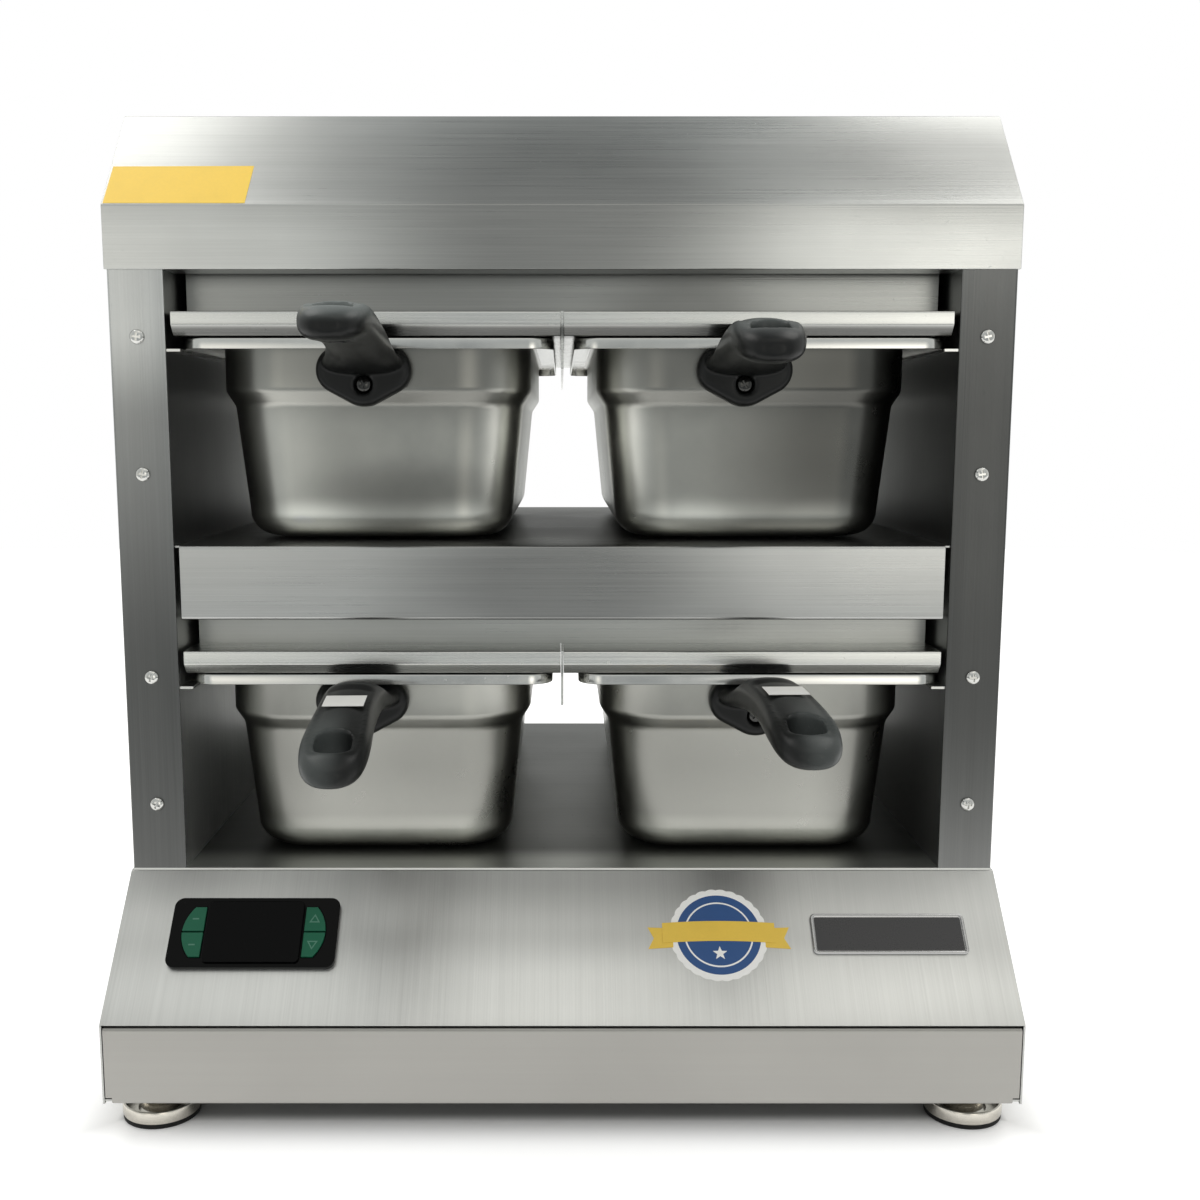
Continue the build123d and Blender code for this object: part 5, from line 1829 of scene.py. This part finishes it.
@dataclass
class Studio:
    """Plain pale studio: floor, soft lamps, surroundings and camera.

    Attributes:
        camera_place: Camera position in metres.
        pitch: How far the camera looks down, in radians.
        yaw: Its turn to the left, in radians.
        lens: Focal length in millimetres.
        shift: Shift of the picture, in picture widths.
        floor_size: Width and depth of the floor, in millimetres.
        floor_ahead: Y of the floor's middle, in millimetres.
        lamps: Position, size and power of each soft lamp.
        glows: Direction, sharpness and strength of each light or dark patch of the surroundings.
        shade_middle: Middle of the shade on the floor.
        shade_reach: Half width and half depth that the shade's edge is counted in.
        shade_edge: Where the shade ends and the open floor begins, as shares of the reach.
        shade_tone: Tone of the floor's painted shadow, and how fast it rises towards the open floor.
        floor_glow: Strength of the open floor's own light.
    """

    camera_place: Triple = (-0.0005, -0.7546, 0.3290)
    pitch: float = 0.1422
    yaw: float = 0.0006
    lens: float = 40.70
    shift: Point = (0.0330, 0.0208)
    floor_size: float = 3600.0
    floor_ahead: float = 1250.0
    lamps: tuple[tuple[Triple, float, float], ...] = (
        ((-0.70, 0.15, 1.45), 0.75, 3.3),
        ((0.70, 0.15, 1.45), 0.75, 3.3),
    )
    glows: tuple[tuple[Triple, float, float], ...] = (
        ((0.0, -0.36, 0.93), 6.0, 0.45), ((0.02, 0.05, 1.0), 22.0, -0.50),
        ((-0.34, 0.03, 0.94), 30.0, 0.05), ((0.34, 0.03, 0.94), 25.0, 0.08),
        ((0.25, -0.45, 0.86), 40.0, 0.50), ((0.30, -0.95, 0.12), 55.0, 1.50),
        ((-0.36, -0.92, 0.13), 55.0, 0.90), ((0.0, -1.0, 0.08), 22.0, -0.32),
        ((0.28, -0.96, -0.11), 60.0, 0.65), ((-0.30, -0.95, -0.11), 60.0, 0.40),
        ((1.0, 0.0, 0.1), 4.0, 0.35), ((-1.0, 0.0, 0.1), 4.0, 0.35), ((0.0, 1.0, 0.1), 4.0, 0.30),
    )
    shade_middle: Triple = (0.0, 35.0, 0.0)
    shade_reach: Triple = (385.0, 317.3, math.inf)
    shade_edge: Point = (0.53, 0.64)
    shade_tone: Point = (0.35, 8.0)
    floor_glow: float = 0.50

    def build(self) -> None:
        """Make the whole studio."""
        self.build_camera()
        self.build_world()
        self.build_floor()
        self.build_lamps()
        bpy.context.scene.view_settings.view_transform = "Standard"

    def build_camera(self) -> None:
        """Make the camera at the photograph's viewing angle."""
        data = bpy.data.cameras.new("camera")
        data.sensor_width = 36.0
        data.lens = self.lens
        data.shift_x, data.shift_y = self.shift
        data.clip_start = 0.02
        camera = linked(bpy.data.objects.new("camera", data))
        camera.location = self.camera_place
        camera.rotation_euler = (math.pi / 2.0 - self.pitch, 0.0, self.yaw)
        bpy.context.scene.camera = camera

    def build_world(self) -> None:
        """Make the surroundings: white to the eye, a soft studio in the metal."""
        world = bpy.data.worlds.new("studio")
        world.use_nodes = True
        bpy.context.scene.world = world
        graph = Graph(world.node_tree)
        direction = graph.node("ShaderNodeTexCoord", output=0)
        level: Any = 0.50
        for aim, sharpness, strength in self.glows:
            unit = tuple(Vector(aim).normalized())
            along = graph.vector("DOT_PRODUCT", {0: direction, 1: unit}, 1)
            level = level + strength * ((along - 1.0) * sharpness).exponential()
        glossy, camera = graph.ray(Ray.GLOSSY), graph.ray(Ray.CAMERA)
        warmth = graph.spread(level, 0.35, 1.1, 0.0, 1.0)
        tint = graph.mix(warmth, (0.92, 0.98, 1.0, 1.0), (1.0, 0.985, 0.93, 1.0))
        soft = graph.mix(glossy, (0.84, 0.84, 0.82, 1.0), tint)
        white = graph.mix(camera, soft, grey(1.0))
        seen_glossy = glossy * (1.0 - camera)
        strength = 1.0 - seen_glossy + seen_glossy * level.at_least(0.05)
        background = graph.node("ShaderNodeBackground", {}, {"Color": white, "Strength": strength})
        graph.node("ShaderNodeOutputWorld", {}, {"Surface": background})

    def build_floor(self) -> None:
        """Make the floor, white in the open, with a painted shadow darkening its colour under the cabinet.
        """
        shape = Shape()
        ahead = Matrix.Translation((0.0, self.floor_ahead, 0.0))
        shape.slab(rounded(self.floor_size, self.floor_size, 400.0, 12), ahead, -20.0, 0.0)
        mesh = shape.data("floor")
        mesh.transform(Matrix.Scale(MM, 4))
        floor = linked(bpy.data.objects.new("studio_floor", mesh))
        material = bpy.data.materials.new("pale_floor")
        material.use_nodes = True
        graph = Graph(material.node_tree)
        tone = graph.mix(graph.noise(*FLOOR_FIBRES), grey(0.86), grey(0.90))
        spot = graph.vector("ABSOLUTE", {0: graph.stretched(self.shade_middle, self.shade_reach)})
        across, along = (graph.node("ShaderNodeSeparateXYZ", {}, {0: spot}, axis) for axis in (0, 1))
        away = across.at_least(along)
        open_floor = graph.spread(away, *self.shade_edge, 0.0, self.floor_glow, smooth=True)
        # Painted shadow: the floor's colour darkens under the cabinet, on top of the shadow the lamps cast
        # there.
        least, rise = self.shade_tone
        shaded = graph.mix(open_floor * rise + least, grey(0.0), tone)
        diffuse = graph.node("ShaderNodeBsdfDiffuse", {}, {"Color": shaded})
        seen = (graph.ray(Ray.CAMERA) + graph.ray(Ray.GLOSSY) + graph.ray(Ray.GLASS)).at_most(1.0)
        glow = graph.node("ShaderNodeEmission", {}, {"Color": grey(1.0), "Strength": seen * open_floor})
        both = graph.node("ShaderNodeAddShader", {}, {0: diffuse, 1: glow})
        graph.node("ShaderNodeOutputMaterial", {}, {"Surface": both})
        mesh.materials.append(material)

    def build_lamps(self) -> None:
        """Make the soft lamps overhead, aimed at the cabinet."""
        for number, (place, size, power) in enumerate(self.lamps):
            data = bpy.data.lights.new(f"soft_lamp_{number}", "AREA")
            data.shape = "DISK"
            data.size = size
            data.energy = power
            data.color = (1.0, 0.985, 0.955)
            lamp = linked(bpy.data.objects.new(f"soft_lamp_{number}", data))
            lamp.location = place
            aim = Vector((0.0, 0.0, 0.25)) - Vector(place)
            lamp.rotation_euler = aim.to_track_quat("-Z", "Y").to_euler()


def node_slots(record: dict[str, Any]) -> dict[str, str]:
    """Give the material slot of each node in the record."""
    return {part["node"]: part["material_slot"] for part in record.get("subparts", [])}


def corners(box: tuple[Vector, Vector]) -> list[list[float]]:
    """Give a box as plain lists of numbers."""
    return [[float(part) for part in corner] for corner in box]


def main() -> None:
    """Build every sub-assembly and the studio."""
    logging.basicConfig(level=logging.INFO, format="%(message)s")
    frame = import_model()
    InnerParts().dress(frame["nodes"], node_slots(frame["record"]))
    Roof().build()
    for side, name in zip(SIDES, ("left", "right")):
        SideWall(side, name).build()
    PostScrews().build()
    MiddleShelf().build()
    Base().build()
    Feet().build()
    for deck, bottom in (("lower", 212.1), ("upper", 373.1)):
        for side, name in zip(SIDES, ("left", "right")):
            HotPlate(side, f"hot_plate_{deck}_{name}", bottom).build()
    Pan("upper_left", -PAN_X + 1.5, 372.3, -2.2, 2.4, 3.0).build()
    Pan("upper_right", PAN_X, 372.3, -7.0, -2.7, -0.7).build()
    Pan("lower_left", -PAN_X + 0.8, 211.3, -5.5, 2.3, -3.7, label=True).build()
    Pan("lower_right", PAN_X + 2.4, 211.3, -0.9, 2.0, -0.3, label=True).build()
    Studio().build()


if __name__ == "__main__":
    main()
